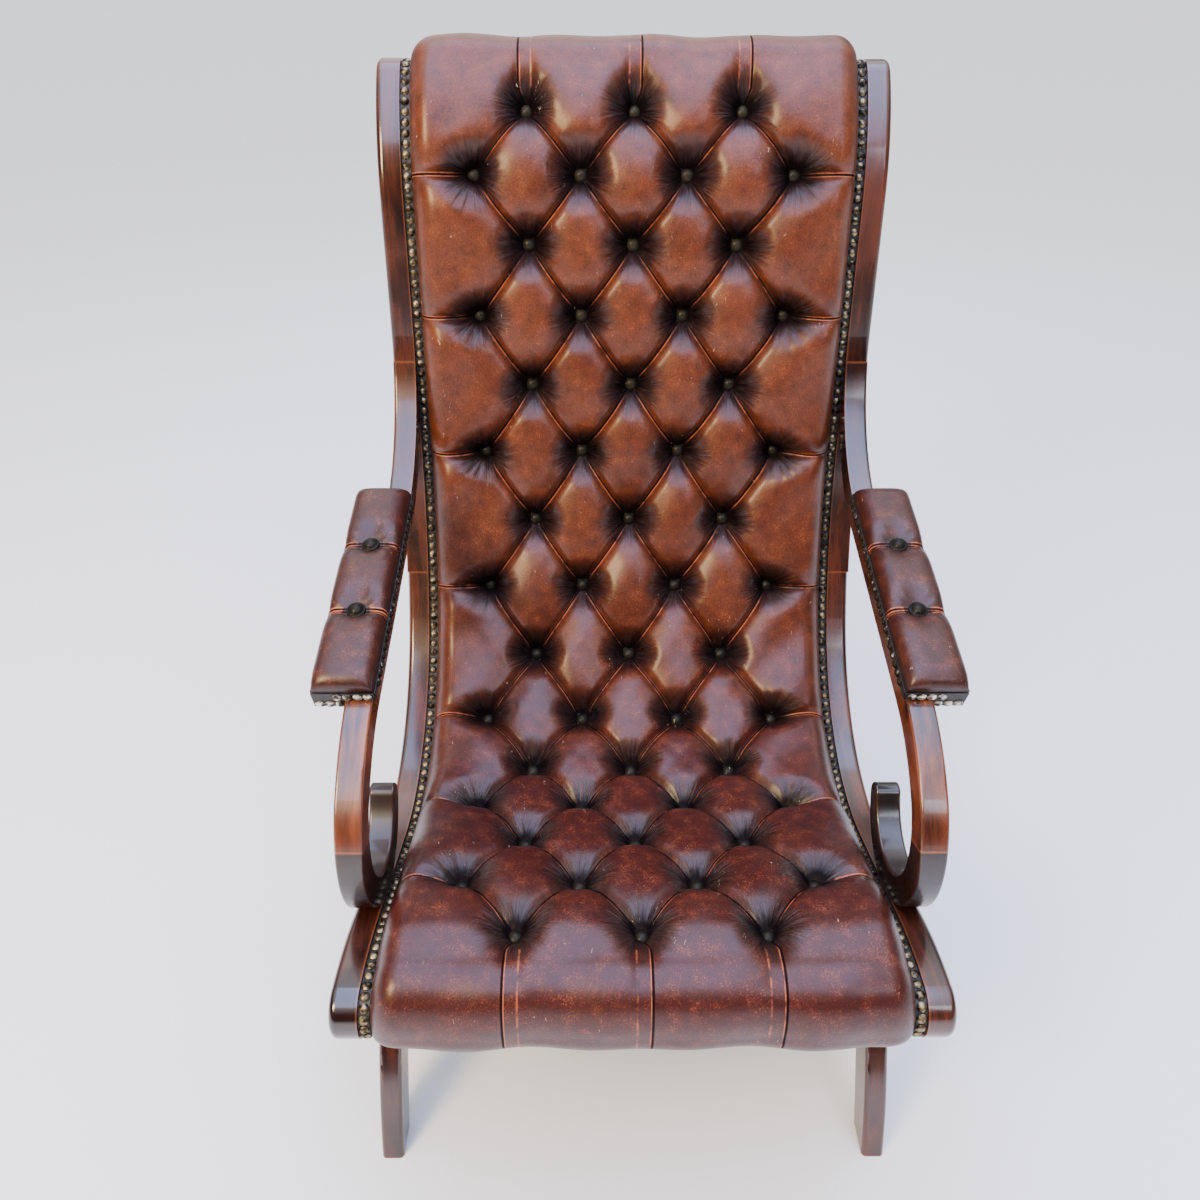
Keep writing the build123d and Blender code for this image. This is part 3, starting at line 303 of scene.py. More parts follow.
def revolve(profile: np.ndarray, around: int) -> tuple[np.ndarray, np.ndarray]:
    """Turns a profile of radius and height about Z into points and triangles.

    Args:
        profile: array of shape (count, 2); its first and last radii are nought.
        around: points in each ring.

    Returns:
        Points of shape (count, 3) and triangles of shape (count, 3).
    """
    angle = np.arange(around) * 2 * math.pi / around
    rings = profile[1:-1]
    x = rings[:, :1] * np.cos(angle)
    y = rings[:, :1] * np.sin(angle)
    z = np.broadcast_to(rings[:, 1:], x.shape)
    points = np.stack([x, y, z], -1).reshape(-1, 3)
    low = [0, 0, profile[0, 1]]
    high = [0, 0, profile[-1, 1]]
    points = np.vstack([points, low, high])
    index = np.arange(len(rings) * around).reshape(len(rings), around)
    after = np.roll(index, -1, axis=1)
    upper = np.stack([index[:-1], after[:-1], after[1:]], -1).reshape(-1, 3)
    lower = np.stack([index[:-1], after[1:], index[1:]], -1).reshape(-1, 3)
    base = np.full(around, len(points) - 2)
    top = np.full(around, len(points) - 1)
    under = np.stack([after[0], index[0], base], -1)
    over = np.stack([index[-1], after[-1], top], -1)
    return points, np.vstack([upper, lower, under, over])


# Materials


class Shader:
    """A small builder of node trees around one Principled shader."""

    def __init__(self, name: str) -> None:
        self.material = bpy.data.materials.new(name)
        self.material.use_nodes = True
        self.tree = self.material.node_tree
        self.principled = self.tree.nodes["Principled BSDF"]

    def node(self, kind: str, **settings: object) -> bpy.types.Node:
        """Adds a node and sets its properties."""
        made = self.tree.nodes.new(kind)
        for key, value in settings.items():
            setattr(made, key, value)
        return made

    def link(self, source: Socket, target: Socket) -> None:
        """Joins two sockets."""
        self.tree.links.new(source, target)

    def feed(self, socket: Socket, value: object) -> None:
        """Puts a number, a colour or another node's socket into a socket."""
        if isinstance(value, Socket):
            self.link(value, socket)
        elif isinstance(value, tuple) and len(value) == 3 and len(socket.default_value) == 4:
            socket.default_value = (*value, 1.0)
        else:
            socket.default_value = value

    def coords(self) -> Socket:
        """Object coordinates, in metres."""
        return self.node("ShaderNodeTexCoord").outputs["Object"]

    def attribute(self, name: str) -> Socket:
        """A number stored for each vertex."""
        return self.node("ShaderNodeAttribute", attribute_name=name).outputs["Fac"]

    def vector(self, operation: str, first: object, second: object = None, scale: float = 1.0) -> Socket:
        """One sum on two vectors; DOT_PRODUCT gives a number."""
        made = self.node("ShaderNodeVectorMath", operation=operation)
        self.feed(made.inputs[0], first)
        if second is not None:
            self.feed(made.inputs[1], second)
        if operation == "SCALE":
            made.inputs["Scale"].default_value = scale
        return made.outputs["Value" if operation == "DOT_PRODUCT" else "Vector"]

    def stretched(self, scale: Triple) -> Socket:
        """Object coordinates scaled by a factor each way."""
        made = self.node("ShaderNodeMapping")
        self.link(self.coords(), made.inputs["Vector"])
        made.inputs["Scale"].default_value = scale
        return made.outputs["Vector"]

    def noise(self, vector: Socket, scale: float, detail: float = 3.0,
              roughness: float = 0.5, distortion: float = 0.0) -> Socket:
        """Noise from nought to one."""
        made = self.node("ShaderNodeTexNoise")
        self.link(vector, made.inputs["Vector"])
        made.inputs["Scale"].default_value = scale
        made.inputs["Detail"].default_value = detail
        made.inputs["Roughness"].default_value = roughness
        made.inputs["Distortion"].default_value = distortion
        return made.outputs["Fac"]

    def cells(self, vector: Socket, scale: float, feature: str = "F1") -> Socket:
        """Distance in a cell pattern."""
        made = self.node("ShaderNodeTexVoronoi", feature=feature)
        self.link(vector, made.inputs["Vector"])
        made.inputs["Scale"].default_value = scale
        return made.outputs["Distance"]

    def math(self, operation: str, first: object, second: object = 0.0, clamp: bool = False) -> Socket:
        """One sum on two numbers."""
        made = self.node("ShaderNodeMath", operation=operation, use_clamp=clamp)
        self.feed(made.inputs[0], first)
        self.feed(made.inputs[1], second)
        return made.outputs["Value"]

    def plus(self, first: object, second: object) -> Socket:
        """Sum of two numbers."""
        return self.math("ADD", first, second)

    def minus(self, first: object, second: object) -> Socket:
        """First number less the second."""
        return self.math("SUBTRACT", first, second)

    def times(self, first: object, second: object) -> Socket:
        """Product of two numbers."""
        return self.math("MULTIPLY", first, second)

    def span(self, value: Socket, low: float, high: float,
             out_low: float = 0.0, out_high: float = 1.0) -> Socket:
        """Maps one range of numbers smoothly to another."""
        made = self.node("ShaderNodeMapRange", interpolation_type="SMOOTHSTEP")
        self.link(value, made.inputs["Value"])
        made.inputs["From Min"].default_value = low
        made.inputs["From Max"].default_value = high
        made.inputs["To Min"].default_value = out_low
        made.inputs["To Max"].default_value = out_high
        return made.outputs["Result"]

    def blend(self, share: object, first: object, second: object) -> Socket:
        """Mixes two colours by a share."""
        made = self.node("ShaderNodeMix", data_type="RGBA")
        self.feed(made.inputs["Factor"], share)
        self.feed(made.inputs[6], first)
        self.feed(made.inputs[7], second)
        return made.outputs[2]

    def bump(self, height: Socket, depth: float, strength: float = 1.0,
             normal: Socket | None = None) -> Socket:
        """Turns a height into a normal; depth is in metres."""
        made = self.node("ShaderNodeBump")
        self.link(height, made.inputs["Height"])
        made.inputs["Distance"].default_value = depth
        made.inputs["Strength"].default_value = strength
        if normal is not None:
            self.link(normal, made.inputs["Normal"])
        return made.outputs["Normal"]

    def set(self, **values: object) -> "Shader":
        """Sets inputs of the Principled shader by name, with underscores for spaces."""
        for key, value in values.items():
            self.feed(self.principled.inputs[key.replace("_", " ")], value)
        return self


@dataclass(frozen=True)
class LeatherFinish:
    """Colours and surface of an antiqued hide."""

    name: str
    seat_colour: Triple = (0.038, 0.0050, 0.0032)
    back_colour: Triple = (0.105, 0.0225, 0.0060)
    deep_colour: Triple = (0.015, 0.0040, 0.0030)
    dark_colour: Triple = (0.0045, 0.0026, 0.0028)
    # Rubbed wear, and also a painted highlight on the lip beside each fold.
    wear_and_highlight_colour: Triple = (0.46, 0.115, 0.042)
    scuff_colour: Triple = (0.50, 0.36, 0.24)
    tint: Triple = (1.0, 0.72, 0.66)
    rub: float = 0.30
    roughness: float = 0.42
    shine: float = 0.28
    coat: float = 0.38
    coat_roughness: float = 0.28
    grain: float = 750.0
    fine_scale: float = 420.0
    speck_scale: float = 700.0
    rubbed_scale: float = 62.0
    wrinkle_scale: float = 60.0
    patch_scale: float = 30.0
    mottle_scale: float = 13.0

    def build(self) -> bpy.types.Material:
        """Makes the material.

        The seat and back colours mix by place and a slow mottle. The pits and the folds go
        dark with painted shade, partly dark dye, and each fold has a painted dark crease line;
        the lip beside a fold gets rubbed wear and a painted highlight, the crowns are rubbed,
        and small scuffs lie in patches.
        A fine cell pattern, a slow creasing and the fold lines bump the surface.

        Returns:
            The material.
        """
        shader = Shader(self.name)
        coords = shader.coords()
        fold, fan = shader.attribute("fold"), shader.attribute("fan")
        mottle = shader.noise(coords, self.mottle_scale, 4.0, 0.6)
        rubbed = shader.noise(coords, self.rubbed_scale, 4.0, 0.6)
        radial = self._radial(shader, coords)
        # Painted shade, partly dark dye: the rise attribute is low in the pits and fold valleys; a random rub
        # varies it.
        shade = shader.plus(shader.attribute("rise"), shader.times(shader.minus(rubbed, 0.5), 0.30))
        # Painted shade in the radial creases round each button.
        shade = shader.minus(shade, shader.times(shader.span(radial, 0.56, 0.44, 0.0, 0.12), fan))
        colour = self._flecks(shader, coords, mottle, rubbed)
        # Painted shade: deep brown, then near-black, where the shade value is low.
        colour = shader.blend(shader.span(shade, 0.25, 1.0), self.deep_colour, colour)
        colour = shader.blend(shader.span(shade, 0.06, 0.32), self.dark_colour, colour)
        # Rubbed wear and a painted highlight on the lip beside each fold.
        colour = shader.blend(self._lips(shader, fold, rubbed), colour, self.wear_and_highlight_colour)
        # Painted shade: a near-black line along each fold's crease.
        colour = shader.blend(shader.span(fold, 0.0005, 0.0012, 0.97, 0.0), colour, self.dark_colour)
        nick = shader.noise(shader.stretched((420.0, 120.0, 160.0)), 1.0, 2.0, 0.5, 1.2)
        patch = shader.noise(coords, self.patch_scale, 1.0)
        scuff = shader.times(shader.span(nick, 0.70, 0.74), shader.span(patch, 0.56, 0.66, 0.0, 0.8))
        colour = shader.blend(scuff, colour, self.scuff_colour)
        # The painted shade also takes the shine off in the pits and along the folds.
        gloss = shader.span(shade, 0.02, 0.30, 0.08, 1.0)
        gloss = shader.times(gloss, shader.span(fold, 0.0006, 0.0018, 0.1, 1.0))
        rough = shader.span(mottle, 0.3, 0.75, self.roughness - 0.04, self.roughness + 0.08)
        normal = self._surface(shader, coords, fold, radial, fan)
        shader.set(Base_Color=colour, Roughness=rough, Normal=normal,
                   Coat_Roughness=self.coat_roughness, Coat_Weight=shader.times(gloss, self.coat),
                   Specular_Tint=self.tint, Specular_IOR_Level=shader.times(gloss, self.shine))
        return shader.material

    def _flecks(self, shader: Shader, coords: Socket, mottle: Socket, rubbed: Socket) -> Socket:
        """Seat and back colours mixed by place, with worn and dark flecks."""
        drift = shader.times(shader.minus(mottle, 0.5), 1.2)
        drift = shader.math("ADD", shader.attribute("warm"), drift, True)
        body = shader.blend(drift, self.seat_colour, self.back_colour)
        speck = shader.noise(coords, self.speck_scale, 3.0, 0.7)
        fleck = shader.plus(shader.times(speck, 0.62), shader.times(rubbed, 0.38))
        body = shader.blend(shader.span(fleck, 0.52, 0.66, 0.0, self.rub), body, self.wear_and_highlight_colour)
        return shader.blend(shader.span(fleck, 0.49, 0.36, 0.0, 0.7), body, self.dark_colour)

    def _lips(self, shader: Shader, fold: Socket, rubbed: Socket) -> Socket:
        """Share of rubbed wear and painted highlight in a narrow band beside each fold, and along the outer
        edge of each pleat.
        """
        band = shader.times(shader.span(fold, 0.0008, 0.0013), shader.span(fold, 0.0026, 0.0017))
        band = shader.times(band, shader.attribute("lip"))
        edge = shader.times(band, shader.span(rubbed, 0.36, 0.54, 0.1, 0.85))
        seam = shader.span(shader.attribute("seam"), 0.0014, 0.0004)
        seam = shader.times(seam, shader.span(rubbed, 0.4, 0.6))
        return shader.math("MAXIMUM", edge, shader.times(seam, 0.5))

    def _surface(self, shader: Shader, coords: Socket, fold: Socket, radial: Socket, fan: Socket) -> Socket:
        """Normal with slow wrinkles, radial creases, fold lines and grain."""
        wrinkle = shader.noise(shader.stretched((1.0, 1.0, 0.45)), self.wrinkle_scale, 3.0, 0.55, 0.6)
        normal = shader.bump(wrinkle, 0.0020, 0.40)
        creases = shader.times(shader.span(radial, 0.36, 0.62), fan)
        normal = shader.bump(creases, 0.0026, 1.0, normal)
        normal = shader.bump(shader.span(fold, 0.0, 0.0016), 0.0012, 0.9, normal)
        grain = shader.cells(coords, self.grain, "SMOOTH_F1")
        fine = shader.noise(coords, self.fine_scale, 4.0, 0.6)
        return shader.bump(shader.plus(grain, shader.times(fine, 0.8)), 0.00022, 0.9, normal)

    def _radial(self, shader: Shader, coords: Socket) -> Socket:
        """Creases that run out from each button.

        The noise is read on a circle in the direction away from the nearest button, which
        the spread attribute gives, so it hardly changes along a radius.
        """
        spread = shader.node("ShaderNodeAttribute", attribute_name="spread").outputs["Vector"]
        circle = shader.vector("SCALE", shader.vector("NORMALIZE", spread), scale=5.5)
        place = shader.vector("ADD", circle, shader.vector("SCALE", coords, scale=16.0))
        return shader.noise(place, 1.3, 3.0, 0.6)


@dataclass(frozen=True)
class WoodFinish:
    """Colours and surface of a polished show wood."""

    name: str
    light: Triple = (0.095, 0.021, 0.0085)
    dark: Triple = (0.012, 0.0040, 0.0032)
    worn: Triple = (0.36, 0.105, 0.032)
    low: float = 0.0
    high: float = 0.0
    high_colour: Triple = (0.26, 0.062, 0.016)
    wear: float = 0.35
    roughness: float = 0.24
    coat: float = 0.6
    coat_roughness: float = 0.10
    edge_reach: float = 0.0030

    def build(self) -> bpy.types.Material:
        """Makes the material: streaks stretched along the member, pores, and rubbed arrises.

        Between the low and high levels the wood may turn lighter towards the top.

        Returns:
            The material.
        """
        shader = Shader(self.name)
        coords = shader.coords()
        streak = shader.noise(shader.stretched((60.0, 9.0, 7.0)), 1.0, 5.0, 0.62, 0.8)
        pore = shader.noise(shader.stretched((900.0, 60.0, 50.0)), 1.0, 2.0, 0.6)
        cloud = shader.noise(coords, 7.0, 3.0, 0.6)
        tone = shader.plus(shader.times(streak, 0.6), shader.times(cloud, 0.55))
        body = self.light
        if self.high > self.low:
            level = shader.node("ShaderNodeSeparateXYZ")
            shader.link(coords, level.inputs[0])
            # Lighter towards the top between the low and high levels, with a little streak.
            height_streaked = shader.plus(level.outputs["Z"], shader.times(streak, 0.05))
            body = shader.blend(shader.span(height_streaked, self.low, self.high), self.light, self.high_colour)
        colour = shader.blend(shader.span(tone, 0.42, 0.74), self.dark, body)
        colour = shader.blend(shader.span(pore, 0.58, 0.72, 0.0, 0.6), colour, self.dark)
        edge = shader.node("ShaderNodeBevel", samples=6)
        edge.inputs["Radius"].default_value = self.edge_reach
        geometry = shader.node("ShaderNodeNewGeometry")
        turn = shader.vector("DOT_PRODUCT", edge.outputs["Normal"], geometry.outputs["Normal"])
        rub = shader.noise(coords, 38.0, 4.0, 0.65)
        bent = shader.plus(turn, shader.times(rub, -0.045))
        colour = shader.blend(shader.span(bent, 0.966, 0.935, 0.0, self.wear), colour, self.worn)
        scratch = shader.noise(shader.stretched((30.0, 200.0, 180.0)), 1.0, 2.0, 0.5)
        normal = shader.bump(scratch, 0.0002, 0.25)
        rough = shader.span(cloud, 0.3, 0.75, self.roughness - 0.06, self.roughness + 0.12)
        shader.set(Base_Color=colour, Roughness=rough, Normal=normal, Coat_Weight=self.coat,
                   Coat_Roughness=self.coat_roughness)
        return shader.material


@dataclass(frozen=True)
class MetalFinish:
    """Colours and surface of the decorative nails."""

    name: str
    bright: Triple
    dull: Triple
    roughness: float = 0.32
    dull_within: float = 0.0
    dull_fade: float = 0.0005

    def build(self) -> bpy.types.Material:
        """Makes the material: bright metal with patches of dark tarnish.

        Within a distance of the chair's middle plane, the metal is nearly all its dull colour.

        Returns:
            The material.
        """
        shader = Shader(self.name)
        coords = shader.coords()
        patch = shader.noise(coords, 140.0, 3.0, 0.6)
        if self.dull_within:
            split = shader.node("ShaderNodeSeparateXYZ")
            shader.link(coords, split.inputs[0])
            out = shader.math("ABSOLUTE", split.outputs["X"])
            # Nearly all dull on the inner side, within the given distance of the middle plane.
            inner_dull = shader.span(out, self.dull_within, self.dull_within - self.dull_fade, 0.0, 0.17)
            patch = shader.minus(patch, inner_dull)
        colour = shader.blend(shader.span(patch, 0.38, 0.62), self.dull, self.bright)
        rough = shader.span(patch, 0.3, 0.7, self.roughness + 0.2, self.roughness)
        normal = shader.bump(shader.noise(coords, 900.0, 2.0), 0.0002, 0.4)
        shader.set(Base_Color=colour, Metallic=0.9, Roughness=rough, Normal=normal)
        return shader.material


@dataclass(frozen=True)
class PlainFinish:
    """Colours and surface of cloth, strip, board and hidden pieces."""

    name: str
    first: Triple
    second: Triple
    scale: float
    roughness: float = 0.8
    stretch: float = 0.12

    def build(self) -> bpy.types.Material:
        """Makes the material: two colours in a crossed weave, with a matching bump.

        Returns:
            The material.
        """
        shader = Shader(self.name)
        coords = shader.coords()
        slow = self.scale * self.stretch
        across = shader.noise(shader.stretched((self.scale, slow, slow)), 1.0, 2.0)
        along = shader.noise(shader.stretched((slow, self.scale, self.scale)), 1.0, 2.0)
        weave = shader.times(shader.plus(across, along), 0.5)
        cloud = shader.noise(coords, 14.0, 3.0)
        share = shader.plus(shader.times(weave, 0.7), shader.times(cloud, 0.3))
        colour = shader.blend(shader.span(share, 0.38, 0.62), self.first, self.second)
        shader.set(Base_Color=colour, Roughness=self.roughness, Normal=shader.bump(weave, 0.0005, 0.6))
        return shader.material


class Palette(Enum):
    """Finishes used on the chair, one material each."""

    HIDE = LeatherFinish("antiqued_hide")
    PAD_HIDE = LeatherFinish("arm_pad_hide", seat_colour=(0.022, 0.0055, 0.0042),
                             back_colour=(0.042, 0.0090, 0.0052))
    BUTTON_HIDE = LeatherFinish("bronzed_button_hide", seat_colour=(0.010, 0.009, 0.009),
                                back_colour=(0.026, 0.022, 0.013), deep_colour=(0.007, 0.006, 0.004),
                                dark_colour=(0.002, 0.0018, 0.0018), wear_and_highlight_colour=(0.05, 0.042, 0.025),
                                tint=(1.0, 0.92, 0.75), roughness=0.34, shine=0.12, coat=0.05)
    MAHOGANY = WoodFinish("mahogany")
    DARK_MAHOGANY = WoodFinish("dark_mahogany", light=(0.018, 0.006, 0.0045), dark=(0.004, 0.0025, 0.0022),
                               coat=0.45, roughness=0.30)
    FADED_MAHOGANY = WoodFinish("upper_pale_mahogany", low=0.44, high=0.58, wear=0.7)
    BEECH = PlainFinish("beech", (0.42, 0.27, 0.14), (0.55, 0.38, 0.22), 700.0, 0.6)
    BRASS = MetalFinish("antique_brass", (0.27, 0.20, 0.11), (0.018, 0.013, 0.008))
    NICKEL = MetalFinish("pale_brass", (0.74, 0.69, 0.60), (0.045, 0.034, 0.022), 0.22, 0.2560)
    STRIP = PlainFinish("black_strip", (0.006, 0.005, 0.005), (0.020, 0.016, 0.014), 900.0, 0.55)
    JUTE = PlainFinish("jute", (0.30, 0.22, 0.12), (0.48, 0.38, 0.24), 1200.0)
    LINING = PlainFinish("black_lining", (0.012, 0.012, 0.013), (0.030, 0.030, 0.032), 1500.0)
    STEEL = MetalFinish("screw_steel", (0.6, 0.6, 0.62), (0.3, 0.3, 0.32))

    def material(self) -> bpy.types.Material:
        """The finish's material, made once."""
        return bpy.data.materials.get(self.value.name) or self.value.build()


def dress(piece: bpy.types.Object, finish: Palette) -> None:
    """Gives a piece one finish in every slot."""
    if not len(piece.material_slots):
        piece.data.materials.append(finish.material())
    for each in piece.material_slots:
        each.material = finish.material()


# Tufted cover


@dataclass(frozen=True)
class TuftSizes:
    """Sizes of the tufted cover, in metres."""

    column_pitch: float = 0.118
    first_row_back: float = 0.037
    last_row_down: float = 0.050
    shoulder: float = 0.028
    fold_reach: float = 0.040
    edge_reach: float = 0.032
    narrow_reach: float = 0.009
    strip_out: float = column_pitch / 60 * 4
    strip_in: float = column_pitch / 60 * 3
    strip_opening: float = 0.022
    strip_lip: float = 0.0024
    end_reach: float = 0.034
    end_overrun: float = 0.02
    wrinkle_reach: float = 0.060
    wrinkle_ring: float = 0.020
    wrinkle_width: float = 0.012
    wrinkle_rise: float = 0.0006
    crease_round: float = 0.0012
    base: float = -0.028
    flange: float = -0.0052
    clearance: float = 0.0004
    splits: int = 30


@dataclass(frozen=True)
class Fold:
    """A fold line on the flat pattern, from one place to another."""

    start: tuple[float, float]
    end: tuple[float, float]
    rise: float
    reach: float
    strip: int = 0
    open_end: bool = False


@dataclass
class TuftedCover:
    """One hide over seat and back: pillows between folds, drawn down at each button."""

    layout: ChairLayout
    sizes: TuftSizes = field(default_factory=TuftSizes)
    row_shares: tuple[float, ...] = (
        0.89, 0.99, 0.94, 0.93, 0.98, 1.14, 1.15, 1.09, 1.11, 1.03, 1.01, 0.98, 0.90, 0.80,
    )

    def __post_init__(self) -> None:
        first = self.layout.nose_end + self.sizes.first_row_back
        last = self.layout.top_end - self.sizes.last_row_down
        steps = np.array(self.row_shares) * (last - first) / sum(self.row_shares)
        self.rows = first + np.concatenate([[0.0], np.cumsum(steps)])
        self.length = self.layout.side.length
        self.wall = self.layout.sizes.inner_face - self.sizes.clearance

    def columns(self, row: int) -> tuple[float, ...]:
        """Places of a row's buttons in pitches: three, or four on every second row."""
        return (-1.5, -0.5, 0.5, 1.5) if row % 2 else (-1.0, 0.0, 1.0)

    def buttons(self) -> np.ndarray:
        """Across and station of every button."""
        places = [(u * self.sizes.column_pitch, s) for i, s in enumerate(self.rows) for u in self.columns(i)]
        return np.array(places)

    def folds(self) -> list[Fold]:
        """Every fold: diagonals between rows, pleats to the sides, and pleats over both ends."""
        sizes, rows = self.sizes, self.rows
        pitch, overrun = sizes.column_pitch, sizes.end_overrun
        made = []
        for row in range(len(rows) - 1):
            for u in self.columns(row):
                for w in self.columns(row + 1):
                    if abs(u - w) < 0.6:
                        start, end = (u * pitch, rows[row]), (w * pitch, rows[row + 1])
                        made.append(Fold(start, end, 0.40, sizes.fold_reach))
        for row in range(1, len(rows), 2):
            for side in (-1, 1):
                button = (side * 1.5 * pitch, rows[row])
                made.append(Fold(button, (side * self.wall, rows[row]), 0.62, sizes.edge_reach, 0, True))
        for u in self.columns(0):
            for row, end, rise in ((rows[0], -overrun, 0.93), (rows[-1], self.length + overrun, 0.94)):
                strip = self.pleat_side(u)
                made.append(Fold((u * pitch, row), (u * pitch, end), rise, sizes.end_reach, strip, True))
        return made

    def pleat_side(self, column: float) -> int:
        """Side of a double pleat's flat strip on which its deep crease lies."""
        return -1 if column < 0 else 1

    def table(self, station: np.ndarray, entries: Sequence[tuple[float, float]]) -> np.ndarray:
        """Smooth steps between entries of station and value."""
        result = np.full_like(station, entries[0][1])
        for (low, before), (high, after) in zip(entries, entries[1:]):
            share = np.clip((station - low) / (high - low), 0, 1)
            share = share * share * (3 - 2 * share)
            result = np.where(station >= low, before + (after - before) * share, result)
        return result

    def crown(self, station: np.ndarray) -> np.ndarray:
        """Height of the pillows over the show face, along the cover."""
        rows, nose, top = self.rows, self.layout.nose_end, self.layout.top_end
        return self.table(station, [
            (0.0, 0.0024), (nose / 2, 0.011), (nose, 0.036), (rows[0], 0.044), (rows[5], 0.044),
            (rows[8], 0.038), (rows[-1], 0.038), (top, 0.033), (top + nose / 3, 0.020), (self.length, 0.0024),
        ])

    def pit(self, station: np.ndarray) -> np.ndarray:
        """Height of the button pits over the show face, along the cover."""
        rows = self.rows
        level = self.table(station, [(rows[0], 0.020), (rows[5], 0.012), (rows[9], 0.004)])
        crown = self.crown(station)
        after = (self.length - station) / (self.length - rows[-1])
        ends = np.clip(np.minimum(station / rows[0], after), 0, 1)
        return np.minimum(level, crown - 0.016 * ends - 0.0006)

    @staticmethod
    def rounded(share: np.ndarray) -> np.ndarray:
        """Rises as 1 - (1 - t)^2 from nought at nought to one at one."""
        return 1 - (1 - np.clip(share, 0, 1)) ** 2

    def step(self, away: np.ndarray, reach: float) -> np.ndarray:
        """Rise of a pillow beside a fold: a narrow roll on a broad dome."""
        soft = np.sqrt(away ** 2 + self.sizes.crease_round ** 2) - self.sizes.crease_round
        return 0.36 * self.rounded(soft / self.sizes.narrow_reach) + 0.64 * self.rounded(soft / reach)

    def pillows(self, across: np.ndarray, station: np.ndarray) -> tuple[np.ndarray, np.ndarray, np.ndarray]:
        """Share of full height at each place of the flat pattern, and nearness to a fold.

        Each fold gives v + (1 - v) s, where v is the fold's own rise between its buttons and
        s mixes 1 - (1 - t)^2 for a broad and a narrow t, the distance to the fold over a
        reach, at most one. A double pleat has a flat strip, which opens out from its button,
        between its crease and the next pillow. A pillow is the product of all of them to a
        power.

        Args:
            across: x of each grid point.
            station: station of each grid point.

        Returns:
            The share of full height, the distance to the nearest fold, and the distance to
            the nearest outer edge of a strip, in metres.
        """
        share = np.ones_like(across)
        nearest = np.full_like(across, 1.0)
        second = np.full_like(across, 1.0)
        for fold in self.folds():
            (ax, ay), (bx, by) = fold.start, fold.end
            low_x, high_x = min(ax, bx) - fold.reach - 0.01, max(ax, bx) + fold.reach + 0.01
            low_y, high_y = min(ay, by) - fold.reach, max(ay, by) + fold.reach
            columns = np.nonzero((across[0] > low_x) & (across[0] < high_x))[0]
            lines = np.nonzero((station[:, 0] > low_y) & (station[:, 0] < high_y))[0]
            if not len(columns) or not len(lines):
                continue
            window = np.s_[lines[0]:lines[-1] + 1, columns[0]:columns[-1] + 1]
            x, y = across[window] - ax, station[window] - ay
            length = math.hypot(bx - ax, by - ay)
            along = np.clip((x * (bx - ax) + y * (by - ay)) / length ** 2, 0, 1)
            away = np.hypot(x - along * (bx - ax), y - along * (by - ay))
            step = self.step(away, fold.reach)
            if fold.strip:
                open_share = np.clip(along * length / self.sizes.strip_opening, 0, 1)
                open_share = open_share * open_share * (3 - 2 * open_share)
                beside = fold.strip * x - self.sizes.strip_out * open_share
                other = -beside - (self.sizes.strip_out + self.sizes.strip_in) * open_share
                flat = 0.11 * self.rounded(-beside / self.sizes.strip_lip)
                flat = flat + 0.89 * self.step(np.maximum(0, other), fold.reach)
                beyond = along <= 0
                step = np.where(beyond, step, np.where(beside < 0, flat, self.step(beside, fold.reach)))
                away = np.where(beyond, away, np.abs(beside))
                line = np.where(open_share > 0.9, np.abs(other), 1.0)
                second[window] = np.minimum(second[window], line)
                valley = fold.rise * np.clip(along * length / 0.052, 0, 1) ** 0.8
            elif fold.open_end:
                valley = fold.rise * np.clip(along * length / 0.060, 0, 1) ** 0.7
            else:
                valley = fold.rise * np.sin(math.pi * along) ** 0.8
            share[window] *= valley + (1 - valley) * step
            nearest[window] = np.minimum(nearest[window], away)
        return share ** 0.72, nearest, second

    def wrinkles(self, across: np.ndarray, station: np.ndarray) -> tuple[np.ndarray, np.ndarray]:
        """Radial creases round each button, in metres, and the vector from the nearest button.

        The crease is a sine of the angle round the button, strongest in a ring beside it.
        """
        rng = np.random.default_rng(7)
        rise = np.zeros_like(across)
        spread = np.full((*across.shape, 3), (1.0, 0.0, 0.0))
        sizes = self.sizes
        for x, s in self.buttons():
            columns = np.nonzero(np.abs(across[0] - x) < sizes.wrinkle_reach)[0]
            lines = np.nonzero(np.abs(station[:, 0] - s) < sizes.wrinkle_reach)[0]
            window = np.s_[lines[0]:lines[-1] + 1, columns[0]:columns[-1] + 1]
            dx, ds = across[window] - x, station[window] - s
            far = np.hypot(dx, ds)
            angle = np.arctan2(ds, dx)
            count, phase, wobble = rng.integers(9, 14), rng.uniform(0, 6.28), rng.uniform(0, 6.28)
            wave = np.sin(count * angle + phase + 1.3 * np.sin(3 * angle + wobble))
            ring = np.exp(-((far - sizes.wrinkle_ring) / sizes.wrinkle_width) ** 2)
            rise[window] += sizes.wrinkle_rise * wave * ring
            closer = far < np.hypot(spread[window][..., 0], spread[window][..., 1])
            spread[window] = np.where(closer[..., None], np.stack([dx, ds, 0 * dx], -1), spread[window])
        return rise, spread

